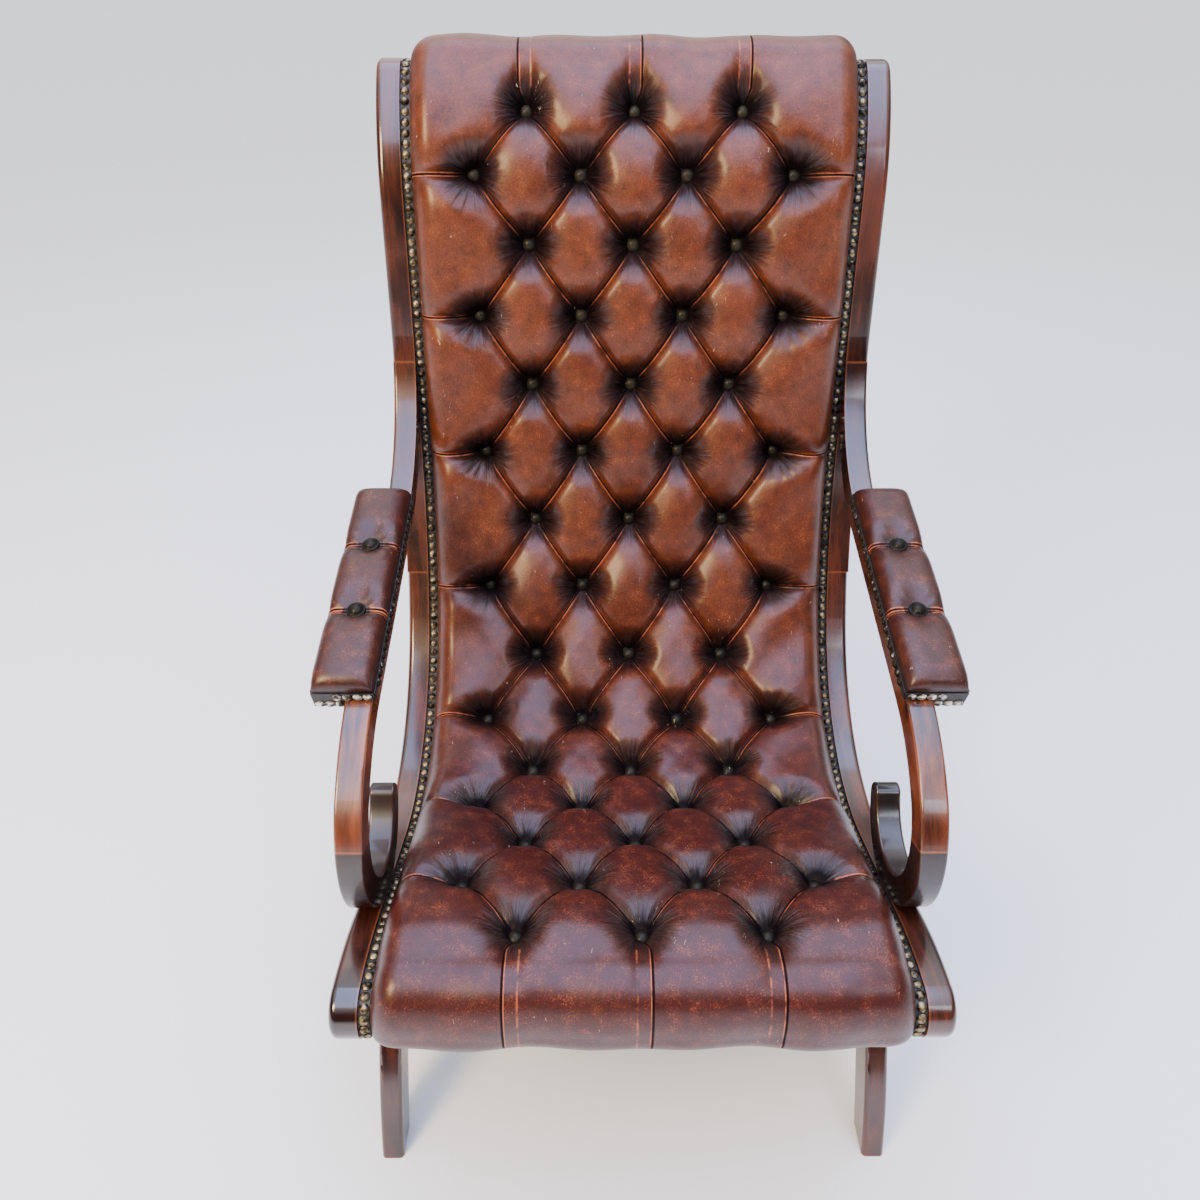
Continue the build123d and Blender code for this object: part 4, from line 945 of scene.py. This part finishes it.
    def lips(self, across: np.ndarray, station: np.ndarray) -> np.ndarray:
        """One on the upper half of each pillow, the side of the fold above it that gets rubbed wear and a
        painted highlight.

        With p the place across in half pitches and q the place along in rows, a pillow's
        middle is where p + q is odd and p - q is odd; the lip is where q is past it.
        """
        p = across / (self.sizes.column_pitch / 2)
        q = np.interp(station, self.rows, np.arange(len(self.rows)))
        middle = np.round((p + q - 1) / 2) - np.round((p - q - 1) / 2)
        past = np.clip((q - middle) / 0.12 + 0.5, 0, 1)
        column = np.clip(np.round(p / 2), -1, 1)
        side = np.where(column < 0, -1.0, 1.0)
        strip = (self.sizes.strip_out - side * (across - column * self.sizes.column_pitch)) / 0.0004
        ends = (station < self.rows[0]) | (station > self.rows[-1])
        return np.where(ends, np.clip(strip, 0, 1), np.where(np.abs(p) > 3, 1.0, past))

    def stations(self) -> np.ndarray:
        """Stations of the grid's rows, with an equal number between each two rows of buttons."""
        splits = self.sizes.splits
        inner = [np.linspace(a, b, splits, endpoint=False) for a, b in zip(self.rows, self.rows[1:])]
        before = np.linspace(0.001, self.rows[0], 44, endpoint=False)
        after = np.linspace(self.rows[-1], self.length - 0.001, 50)
        return np.concatenate([before, *inner, after])

    def across(self) -> np.ndarray:
        """Places of the grid's columns, close together where the shoulder falls to the wall."""
        half = self.sizes.column_pitch / 2
        middle = np.arange(-3 * self.sizes.splits, 3 * self.sizes.splits + 1) * half / self.sizes.splits
        panel_end = self.wall - self.sizes.shoulder
        panel = np.linspace(middle[-1], panel_end, 22)[1:]
        turn = np.linspace(0, math.pi / 2, 15)[1:]
        shoulder = panel_end + self.sizes.shoulder * np.sin(turn)
        side = np.concatenate([panel, shoulder])
        return np.concatenate([-side[::-1], middle, side])

    def build(self) -> bpy.types.Object:
        """Makes the cover as a closed form, with its flanges in the rabbets and a flat base.

        Returns:
            The cover.
        """
        x_line, s_line = self.across(), self.stations()
        across, station = np.meshgrid(x_line, s_line)
        share, fold, seam = self.pillows(across, station)
        crease, spread = self.wrinkles(across, station)
        crown, pit = self.crown(station), self.pit(station)
        slow = np.sin(across * 37 + 1.7) * np.sin(station * 29 + 0.6) + np.sin(across * 61 - station * 43)
        panel = pit + (crown - pit) * share + share * (0.0012 * slow) + crease * np.clip(share * 3, 0, 1)
        edge = np.clip((self.wall - np.abs(across)) / self.sizes.shoulder, 0, 1)
        shoulder = np.sqrt(1 - (1 - edge) ** 2)
        lift = self.sizes.flange + (panel - self.sizes.flange) * shoulder
        y, z, _ = self.layout.side.place(station, lift)
        top = np.stack([across, y, z], -1)
        reach = self.layout.sizes.show_edge - self.sizes.clearance
        under = self.sizes.flange - 0.0015
        ring = [(reach, self.sizes.flange), (reach, under), (self.wall - 0.001, under),
                (self.wall - 0.002, self.sizes.base), (-self.wall + 0.002, self.sizes.base),
                (-self.wall + 0.001, under), (-reach, under), (-reach, self.sizes.flange)]
        low = np.clip(np.minimum(s_line - self.layout.nose_end, self.layout.top_end - s_line) / 0.04, 0, 1)
        rest = []
        for x, n in ring:
            floor = np.where(n < under, under + (n - under) * low, n)
            ring_y, ring_z, _ = self.layout.side.place(s_line, floor)
            rest.append(np.stack([np.full_like(s_line, x), ring_y, ring_z], -1))
        points = np.concatenate([top, np.stack(rest, 1)], axis=1)
        piece = self._split_mesh("tufted_hide", points)
        spare = np.zeros((len(s_line), len(ring)))
        tones = self._tones(across, station, share, shoulder, spread)
        tones |= {"fold": fold, "seam": seam}
        for name, values in tones.items():
            add_attribute(piece, name, np.concatenate([values, spare], axis=1))
        add_attribute(piece, "spread", np.concatenate([spread, np.ones((*spare.shape, 3))], axis=1))
        dress(piece, Palette.HIDE)
        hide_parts("tufted_cover", "seat_foam", "back_foam")
        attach(piece, "root")
        return piece

    def _tones(self, across: np.ndarray, station: np.ndarray, share: np.ndarray, shoulder: np.ndarray,
               spread: np.ndarray) -> dict[str, np.ndarray]:
        """Numbers that the leather reads: a painted shade value, warmth, lips for wear and painted highlight,
        and the creases' reach.

        Args:
            across: x of each grid point.
            station: station of each grid point.
            share: share of the pillow's full height.
            shoulder: fall towards the walls.
            spread: vector from the nearest button.

        Returns:
            The values by attribute name.
        """
        warm = self.table(station, [(self.rows[2], 0.0), (self.rows[7], 0.75), (self.rows[12], 1.0)])
        button = np.hypot(spread[..., 0], spread[..., 1])
        # Rise is painted shade, partly dark dye: low near each button, towards the walls, under the front
        # roll and in the fold valleys.
        squashed = np.hypot(spread[..., 0] * 0.85, spread[..., 1] - 0.003)
        lower = 0.55 + 0.45 * np.clip((station - 0.012) / 0.030, 0, 1)
        rise = np.clip((squashed - 0.007) / 0.036, 0, 1) ** 0.75 * (0.35 + 0.65 * shoulder) * lower
        rise = rise * (0.55 + 0.45 * share ** 1.3)
        lip = self.lips(across, station) * (1 - 0.15 * warm) * np.clip((button - 0.014) / 0.012, 0, 1)
        fan = np.clip((button - 0.009) / 0.008, 0, 1) * np.clip((0.041 - button) / 0.022, 0, 1)
        fan = fan * (0.35 + 0.65 * (spread[..., 0] / np.maximum(button, 0.001)) ** 2)
        return {"rise": rise, "warm": warm, "lip": lip, "fan": fan}

    def _split_mesh(self, name: str, points: np.ndarray) -> bpy.types.Object:
        """Splits a wrapped grid into triangles along the valley of each quad, and caps its ends."""
        rows, columns, _ = points.shape
        index = np.arange(rows * columns).reshape(rows, columns)
        after = np.roll(index, -1, axis=1)
        a, b, c, d = index[:-1], after[:-1], after[1:], index[1:]
        flat = points.reshape(-1, 3)
        middle = (flat[a] + flat[b] + flat[c] + flat[d]) / 4
        normal = np.cross(flat[b] - flat[d], flat[c] - flat[a])
        falling = np.einsum("ijk,ijk->ij", (flat[a] + flat[c]) / 2 - middle, normal)
        first = falling[..., None] < 0
        upper = np.where(first, np.stack([a, c, b], -1), np.stack([a, d, b], -1)).reshape(-1, 3)
        lower = np.where(first, np.stack([a, d, c], -1), np.stack([b, d, c], -1)).reshape(-1, 3)
        hubs = np.stack([points[0].mean(0), points[-1].mean(0)])
        near = np.stack([index[0], after[0], np.full(columns, rows * columns)], -1)
        far = np.stack([after[-1], index[-1], np.full(columns, rows * columns + 1)], -1)
        return triangle_mesh(name, np.vstack([flat, hubs]), np.vstack([upper, lower, near, far]))


@dataclass
class CoveredButtons:
    """Domed covered buttons, one mesh for each group."""

    name: str
    radius: float = 0.0098
    height: float = 0.0066
    rim: float = 0.0011
    tone_slope: float = 1.7

    def profile(self) -> np.ndarray:
        """Radius and height from the base up over the rounded rim, its groove and the dome."""
        turn = np.linspace(-0.5, 0.8 * math.pi, 10)
        rim = self.rim
        side = np.stack([self.radius - rim + rim * np.cos(turn), rim + rim * np.sin(turn)], -1)
        share = np.linspace(1.0, 0.0, 9)
        dome = self.radius - 1.7 * rim
        top = np.stack([dome * share, 0.9 * rim + (self.height - 0.9 * rim) * (1 - share ** 2) ** 0.7], -1)
        return np.vstack([[0.0, 0.0], [self.radius - 2 * rim, 0.0], side, top])

    def build(self, places: Sequence[ButtonPlace], nodes: Sequence[str]) -> bpy.types.Object:
        """Makes the buttons.

        Args:
            places: base centre, outward direction and warmth of each.
            nodes: CAD nodes that they stand for.

        Returns:
            The piece.
        """
        points, triangles = revolve(self.profile(), 28)
        rng = np.random.default_rng(3)
        all_points, all_triangles, tones, warms = [], [], [], []
        for centre, out, warmth in places:
            tilt = Vector((rng.uniform(-0.10, 0.10), rng.uniform(-0.10, 0.10), 0.0))
            turn = (out + tilt).to_track_quat("Z", "Y").to_matrix()
            all_triangles.append(triangles + len(all_points) * len(points))
            all_points.append(points @ np.array(turn).T + np.array(centre))
            # Rise is painted shade: low at the base and in the rim groove, higher up the dome; it also varies
            # at random and is lower where the warmth is low.
            tone = np.clip(self.tone_slope * points[:, 2] / self.height, 0, 1)
            tones.append(tone * rng.uniform(0.75, 1.0) * (0.4 + 0.6 * warmth))
            warms.append(np.full(len(points), warmth))
        piece = triangle_mesh(self.name, np.vstack(all_points), np.vstack(all_triangles))
        add_attribute(piece, "rise", np.concatenate(tones))
        add_attribute(piece, "warm", np.concatenate(warms))
        add_plain_attributes(piece)
        dress(piece, Palette.BUTTON_HIDE)
        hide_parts(*nodes)
        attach(piece, "root")
        return piece


def cover_button_places(cover: TuftedCover) -> list[ButtonPlace]:
    """Base, direction and warmth of every button of the cover."""
    places = []
    for x, s in cover.buttons():
        station = np.array(s)
        lift = float(cover.pit(station)) + 0.0004
        y, z, heading = cover.layout.side.place(station, lift)
        out = Vector((0.0, -math.sin(float(heading)), math.cos(float(heading))))
        places.append((Vector((x, float(y), float(z))), out, min(1.0, s / cover.length)))
    return places


# Arm pads


@dataclass(frozen=True)
class PadSizes:
    """Sizes of an arm pad's hide, in metres."""

    pleat_depth: float = 0.0090
    pleat_reach: float = 0.034
    button_room: float = 0.009
    end_round: float = 0.020
    skirt: float = 0.012
    clearance: float = 0.0003
    hem: float = 0.0025
    lift: float = 0.0005
    button_width: float = 0.013
    pucker_rise: float = 0.0004
    pucker_ring: float = 0.018
    pucker_width: float = 0.008


@dataclass
class ArmPad:
    """Hide of one arm pad: three bulges between two pleats that run across it."""

    layout: ChairLayout
    side: int
    sizes: PadSizes = field(default_factory=PadSizes)

    def __post_init__(self) -> None:
        arm, arm_sizes = self.layout.arm, self.layout.arm_sizes
        self.start = arm.start_of(1) - arm_sizes.pad_rear_lap
        self.finish = arm.start_of(2) + arm_sizes.pad_front_lap
        self.middle = arm_sizes.pad_outer - arm_sizes.pad_width / 2
        third = (self.finish - self.start) / 3
        self.pleats = (self.start + third, self.finish - third)

    @property
    def label(self) -> str:
        """Name of the side."""
        return "right" if self.side > 0 else "left"

    def build(self) -> bpy.types.Object:
        """Makes the pad's hide as a closed form round its stuffing and board.

        Across, with t from nought to pi, x = half |cos t|^0.5 with the sign of cos t and
        n = low + (top - low) |sin t|^0.8; below that the sides go straight down, with a
        skirt over the arm's outer face. The height falls at both ends along a quarter
        circle and dips at each pleat.

        Returns:
            The pad.
        """
        sizes, arm_sizes = self.sizes, self.layout.arm_sizes
        half = arm_sizes.pad_width / 2
        ends = sizes.end_round * (1 - np.cos(np.linspace(0, math.pi / 2, 14)))
        body = np.linspace(self.start + sizes.end_round, self.finish - sizes.end_round, 170)
        stations = np.concatenate([self.start + ends[:-1], body, self.finish - ends[:-1][::-1]])
        turn = np.linspace(0, math.pi, 65)
        top_x = half * np.sign(np.cos(turn)) * np.abs(np.cos(turn)) ** 0.5
        low = arm_sizes.board + sizes.hem
        top_height = arm_sizes.board + arm_sizes.crown
        top_n = low + (top_height - low) * np.abs(np.sin(turn)) ** 0.8
        side_n = np.linspace(sizes.lift, low, 8)[:-1]
        skirt_n = np.linspace(-sizes.skirt, low, 12)[:-1]
        arm_x = self.layout.sizes.width / 2 + sizes.clearance - self.middle
        outer, inner = np.full_like(skirt_n, half), np.full_like(side_n, -half)
        x_ring = np.concatenate([outer, top_x, inner, [arm_x, arm_x]])
        n_ring = np.concatenate([skirt_n, top_n, side_n[::-1], [sizes.lift, -sizes.skirt]])
        x_grid, s_grid = np.meshgrid(x_ring, stations)
        n_grid = np.broadcast_to(n_ring, s_grid.shape)
        ahead = np.where(np.abs(s_grid - self.pleats[0]) < np.abs(s_grid - self.pleats[1]),
                         s_grid - self.pleats[0], s_grid - self.pleats[1])
        away = np.abs(ahead)
        room = sizes.button_room * np.exp(-(x_grid / sizes.button_width) ** 2)
        dip = (1 - np.clip((away - room) / sizes.pleat_reach, 0, 1)) ** 2.2
        raised = np.clip((n_grid - low) / (top_height - low), 0, 1)
        ends_away = np.minimum(s_grid - self.start, self.finish - s_grid)
        end_share = np.sqrt(1 - (1 - np.clip(ends_away / sizes.end_round, 0, 1)) ** 2)
        n_grid = n_grid - sizes.pleat_depth * dip * raised ** 0.7
        n_grid = np.where(n_grid > low, low + (n_grid - low) * (0.22 + 0.78 * end_share), n_grid)
        radial = np.hypot(ahead, x_grid)
        angle = np.arctan2(ahead, x_grid)
        ring = np.exp(-((radial - sizes.pucker_ring) / sizes.pucker_width) ** 2)
        n_grid = n_grid + sizes.pucker_rise * np.sin(11 * angle) * ring * raised
        x_grid = x_grid * np.where(n_grid > low, (1 - 0.03 * dip) * (0.94 + 0.06 * end_share), 1.0)
        y, z, _ = self.layout.arm.place(s_grid, -n_grid)
        points = np.stack([self.side * (self.middle + x_grid), y, z], -1)
        if self.side > 0:
            points = points[:, ::-1]
            raised, dip, end_share = raised[:, ::-1], dip[:, ::-1], end_share[:, ::-1]
            ahead, x_grid = ahead[:, ::-1], x_grid[:, ::-1]
        piece = grid_mesh("arm_pad_hide_" + self.label, points, wrap=True, caps=True)
        fold = np.minimum(np.abs(ahead - 0.0025), np.abs(ahead + 0.0020)) + 0.004 * (raised == 0)
        # Rise is painted shade: darker down the sides, at the pleats and at the rounded ends; warm also drops
        # to the darker seat colour at the pleats.
        rise = (0.35 + 0.65 * np.clip(raised * 1.4, 0, 1)) * (1 - 0.55 * dip ** 2) * (0.45 + 0.55 * end_share)
        for name, values in (("rise", rise), ("warm", 0.2 + 0.5 * (1 - dip)), ("fold", fold),
                             ("lip", np.abs(x_grid) > 0.014), ("fan", 0 * raised), ("seam", 1 + 0 * raised)):
            add_attribute(piece, name, np.asarray(values, float))
        dress(piece, Palette.PAD_HIDE)
        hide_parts("arm_pad_cover_" + self.label, "arm_pad_foam_" + self.label)
        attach(piece, "root")
        return piece

    def buttons(self) -> list[ButtonPlace]:
        """Base, direction and warmth of the pad's two buttons."""
        height = self.layout.arm_sizes.board + self.layout.arm_sizes.crown - self.sizes.pleat_depth - 0.0004
        places = []
        for pleat in self.pleats:
            y, z, heading = self.layout.arm.place(np.array(pleat), -height)
            out = Vector((0.0, math.sin(float(heading)), -math.cos(float(heading))))
            places.append((Vector((self.side * self.middle, float(y), float(z))), out, 0.3))
        return places


# Sheets under and behind the chair


@dataclass
class StretchedSheet:
    """A hide or cloth nailed across the back of the side frames."""

    layout: ChairLayout
    name: str
    node: str
    finish: Palette
    slot: str
    sag: float = 0.0015
    hide_thickness: float = 0.0015
    cloth_thickness: float = 0.0008
    clearance: float = 0.0003
    bend: float = 0.385
    front_gap: float = 0.006

    def build(self) -> bpy.types.Object:
        """Makes the sheet as a closed thin form over the CAD piece's own place.

        The sheet follows the side path at the CAD sheet's lifts and sags a little between
        the side frames as the product of a parabola across and a slow wave along.

        Returns:
            The sheet.
        """
        low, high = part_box(self.node)
        side, sizes = self.layout.side, self.layout.sizes
        bend = self.layout.nose_end + self.bend
        if self.node == "outside_back":
            stations = np.linspace(bend, self.layout.top_end, 220)
            thickness = self.hide_thickness
        else:
            stations = np.linspace(self.layout.nose_end + self.front_gap, bend - self.clearance, 110)
            thickness = self.cloth_thickness
        x_line = np.linspace(low.x, high.x, 90)
        x_grid, s_grid = np.meshgrid(x_line, stations)
        drawn = np.clip(1 - (x_grid / sizes.inner_face) ** 2, 0, 1)
        wave = 0.6 + 0.4 * np.sin(s_grid * 21 + 1.0) * np.sin(x_grid * 17)
        pull = self.sag * drawn * wave
        face = -sizes.depth - self.clearance
        outer_y, outer_z, _ = side.place(s_grid, face - thickness + pull)
        inner_y, inner_z, _ = side.place(s_grid, face + pull)
        outer = np.stack([x_grid, outer_y, outer_z], -1)
        inner = np.stack([x_grid, inner_y, inner_z], -1)
        points = np.concatenate([outer, inner[:, ::-1]], axis=1)
        piece = grid_mesh(self.name, points, wrap=True, caps=True)
        edge = np.clip((sizes.inner_face + 0.01 - np.abs(x_grid)) / 0.05, 0, 1)
        both = np.concatenate([edge, edge[:, ::-1]], axis=1)
        # Rise: the leather darkens this hide throughout, and more towards the side frames.
        add_attribute(piece, "rise", 0.35 + 0.4 * both)
        add_attribute(piece, "warm", np.full(both.shape, 0.7))
        add_plain_attributes(piece)
        dress(piece, self.finish)
        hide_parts(self.node)
        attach(piece, "root")
        return piece


# CAD nodes that stay


CAD_FINISHES: tuple[tuple[Palette, tuple[str, ...]], ...] = (
    (Palette.MAHOGANY, ("seat_rail", "back_stile", "arm_rail", "front_leg", "rear_leg")),
    (Palette.FADED_MAHOGANY, ("arm_support",)),
    (Palette.DARK_MAHOGANY, ("arm_scroll",)),
    (Palette.BEECH, ("front_rail", "crest_rail", "seat_mid_rail", "seat_bend_rail", "lumbar_rail",
                     "corner_blocks", "web_ledger", "frame_dowels", "cross_rail_dowels", "arm_pad_board")),
    (Palette.BRASS, ("show_nails", "back_nails")),
    (Palette.NICKEL, ("arm_pad_nails",)),
    (Palette.STRIP, ("nail_band", "arm_pad_strip")),
    (Palette.JUTE, ("webbing", "hessian")),
    (Palette.STEEL, ("arm_pad_screws",)),
)


def dress_cad() -> None:
    """Gives each CAD node that stays its finish, by the start of its name."""
    for piece in list(bpy.context.scene.objects):
        if piece.type != "MESH":
            continue
        for finish, stems in CAD_FINISHES:
            if any(piece.name == stem or piece.name in (stem + "_left", stem + "_right") for stem in stems):
                dress(piece, finish)


# Studio


@dataclass(frozen=True)
class Lamp:
    """One soft area light."""

    name: str
    place: Triple
    size: tuple[float, float]
    power: float
    colour: Triple
    aim: Triple = (0.0, 0.0, 0.55)

    def build(self) -> None:
        """Makes the light and turns it to its aim."""
        data = bpy.data.lights.new(self.name, "AREA")
        data.shape = "RECTANGLE"
        data.size, data.size_y = self.size
        data.energy = self.power
        data.color = self.colour
        made = bpy.data.objects.new(self.name, data)
        made.location = self.place
        made.rotation_euler = (Vector(self.aim) - Vector(self.place)).to_track_quat("-Z", "Y").to_euler()
        bpy.context.scene.collection.objects.link(made)


@dataclass
class Studio:
    """Pale floor, soft lights and the photograph's camera."""

    layout: ChairLayout
    camera_from_scroll: Triple = (-0.0443, -0.559, 1.161)
    yaw: float = 0.416
    pitch: float = 34.0
    roll: float = 0.209
    focal_share: float = 1000 / 1200
    surround: float = 0.85
    floor_reach: float = 40.0
    floor_grey: float = 0.88
    # Each glow: where it starts and is full along the axis, and its dimmest and brightest values
    overhead: tuple[float, ...] = (0.40, 0.90, 0.0, 2.5)
    behind: tuple[float, ...] = (-0.2, 0.6, 0.03, 0.45)
    sensor: float = 36.0
    lamps: tuple[Lamp, ...] = (
        Lamp("warm_window", (-1.8, -1.9, 2.4), (1.0, 1.1), 150.0, (1.0, 0.74, 0.38)),
        Lamp("sky", (0.0, -0.7, 3.2), (2.4, 4.0), 180.0, (0.36, 0.50, 1.0), (0.0, -0.7, 0.0)),
        Lamp("cool_window", (1.6, -2.6, 2.6), (0.8, 0.8), 20.0, (0.80, 0.84, 1.0)),
        Lamp("rear", (-0.4, 2.6, 2.2), (2.4, 1.6), 14.0, (0.95, 0.96, 1.0)),
    )

    def build(self) -> None:
        """Makes the floor, the lights, the world and the camera."""
        line = np.linspace(-self.floor_reach, self.floor_reach, 9)
        x, y = np.meshgrid(line, line)
        floor = grid_mesh("floor", np.stack([x, y, np.zeros_like(x)], -1))
        shader = Shader("pale_floor")
        shader.set(Base_Color=(self.floor_grey,) * 3, Roughness=0.9, Specular_IOR_Level=0.0)
        floor.data.materials.append(shader.material)
        for lamp in self.lamps:
            lamp.build()
        self._world()
        self._camera()

    def _world(self) -> None:
        """Makes a surround that lights the chair from overhead and behind, and looks evenly pale itself."""
        world = bpy.data.worlds.new("studio")
        world.use_nodes = True
        tree = world.node_tree
        place = tree.nodes.new("ShaderNodeTexCoord")
        split = tree.nodes.new("ShaderNodeSeparateXYZ")
        tree.links.new(place.outputs["Generated"], split.inputs[0])
        glows = []
        for axis, values in (("Z", self.overhead), ("Y", self.behind)):
            glow = tree.nodes.new("ShaderNodeMapRange")
            glow.interpolation_type = "SMOOTHSTEP"
            tree.links.new(split.outputs[axis], glow.inputs["Value"])
            for name, value in zip(("From Min", "From Max", "To Min", "To Max"), values):
                glow.inputs[name].default_value = value
            glows.append(glow)
        total = tree.nodes.new("ShaderNodeMath")
        total.operation = "ADD"
        for glow, socket in zip(glows, total.inputs):
            tree.links.new(glow.outputs["Result"], socket)
        seen = tree.nodes.new("ShaderNodeMix")
        seen.data_type = "FLOAT"
        sight = tree.nodes.new("ShaderNodeLightPath")
        tree.links.new(sight.outputs["Is Camera Ray"], seen.inputs[0])
        tree.links.new(total.outputs["Value"], seen.inputs[2])
        seen.inputs[3].default_value = self.surround
        background = tree.nodes["Background"]
        background.inputs["Color"].default_value = (0.94, 0.95, 1.0, 1.0)
        tree.links.new(seen.outputs[0], background.inputs["Strength"])
        bpy.context.scene.world = world

    def _camera(self) -> None:
        """Places the camera by yaw, pitch and roll: right, up and back are its axes."""
        yaw, pitch, roll = (math.radians(v) for v in (self.yaw, self.pitch, self.roll))
        ahead = Vector((math.sin(yaw) * math.cos(pitch), math.cos(yaw) * math.cos(pitch), -math.sin(pitch)))
        right = Vector((math.cos(yaw), -math.sin(yaw), 0.0))
        up = right.cross(ahead)
        turned_right = right * math.cos(roll) + up * math.sin(roll)
        turned_up = up * math.cos(roll) - right * math.sin(roll)
        data = bpy.data.cameras.new("camera")
        data.sensor_width = self.sensor
        data.lens = self.sensor * self.focal_share
        made = bpy.data.objects.new("camera", data)
        turn = Matrix((turned_right, turned_up, -ahead)).transposed()
        x, y, z = self.camera_from_scroll
        made.matrix_world = Matrix.Translation((x, y + self.layout.shift, z)) @ turn.to_4x4()
        bpy.context.scene.collection.objects.link(made)
        bpy.context.scene.camera = made


def main() -> None:
    """Builds the chair's visible pieces in order."""
    logging.basicConfig(level=logging.INFO)
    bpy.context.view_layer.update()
    layout = ChairLayout(FrameSizes(), ArmSizes())
    Studio(layout).build()
    dress_cad()
    LOG.info("frame dressed")
    cover = TuftedCover(layout)
    cover.build()
    CoveredButtons("cover_button_domes").build(cover_button_places(cover), ["cover_buttons"])
    LOG.info("cover built")
    for side in (-1, 1):
        pad = ArmPad(layout, side)
        pad.build()
        domes = CoveredButtons("arm_pad_button_domes_" + pad.label)
        domes.build(pad.buttons(), ["arm_pad_buttons_" + pad.label])
    StretchedSheet(layout, "outside_back_hide", "outside_back", Palette.HIDE, "hide").build()
    StretchedSheet(layout, "dust_cloth_sheet", "dust_cloth", Palette.LINING, "cloth").build()
    LOG.info("sheets built")


if __name__ == "__main__":
    main()
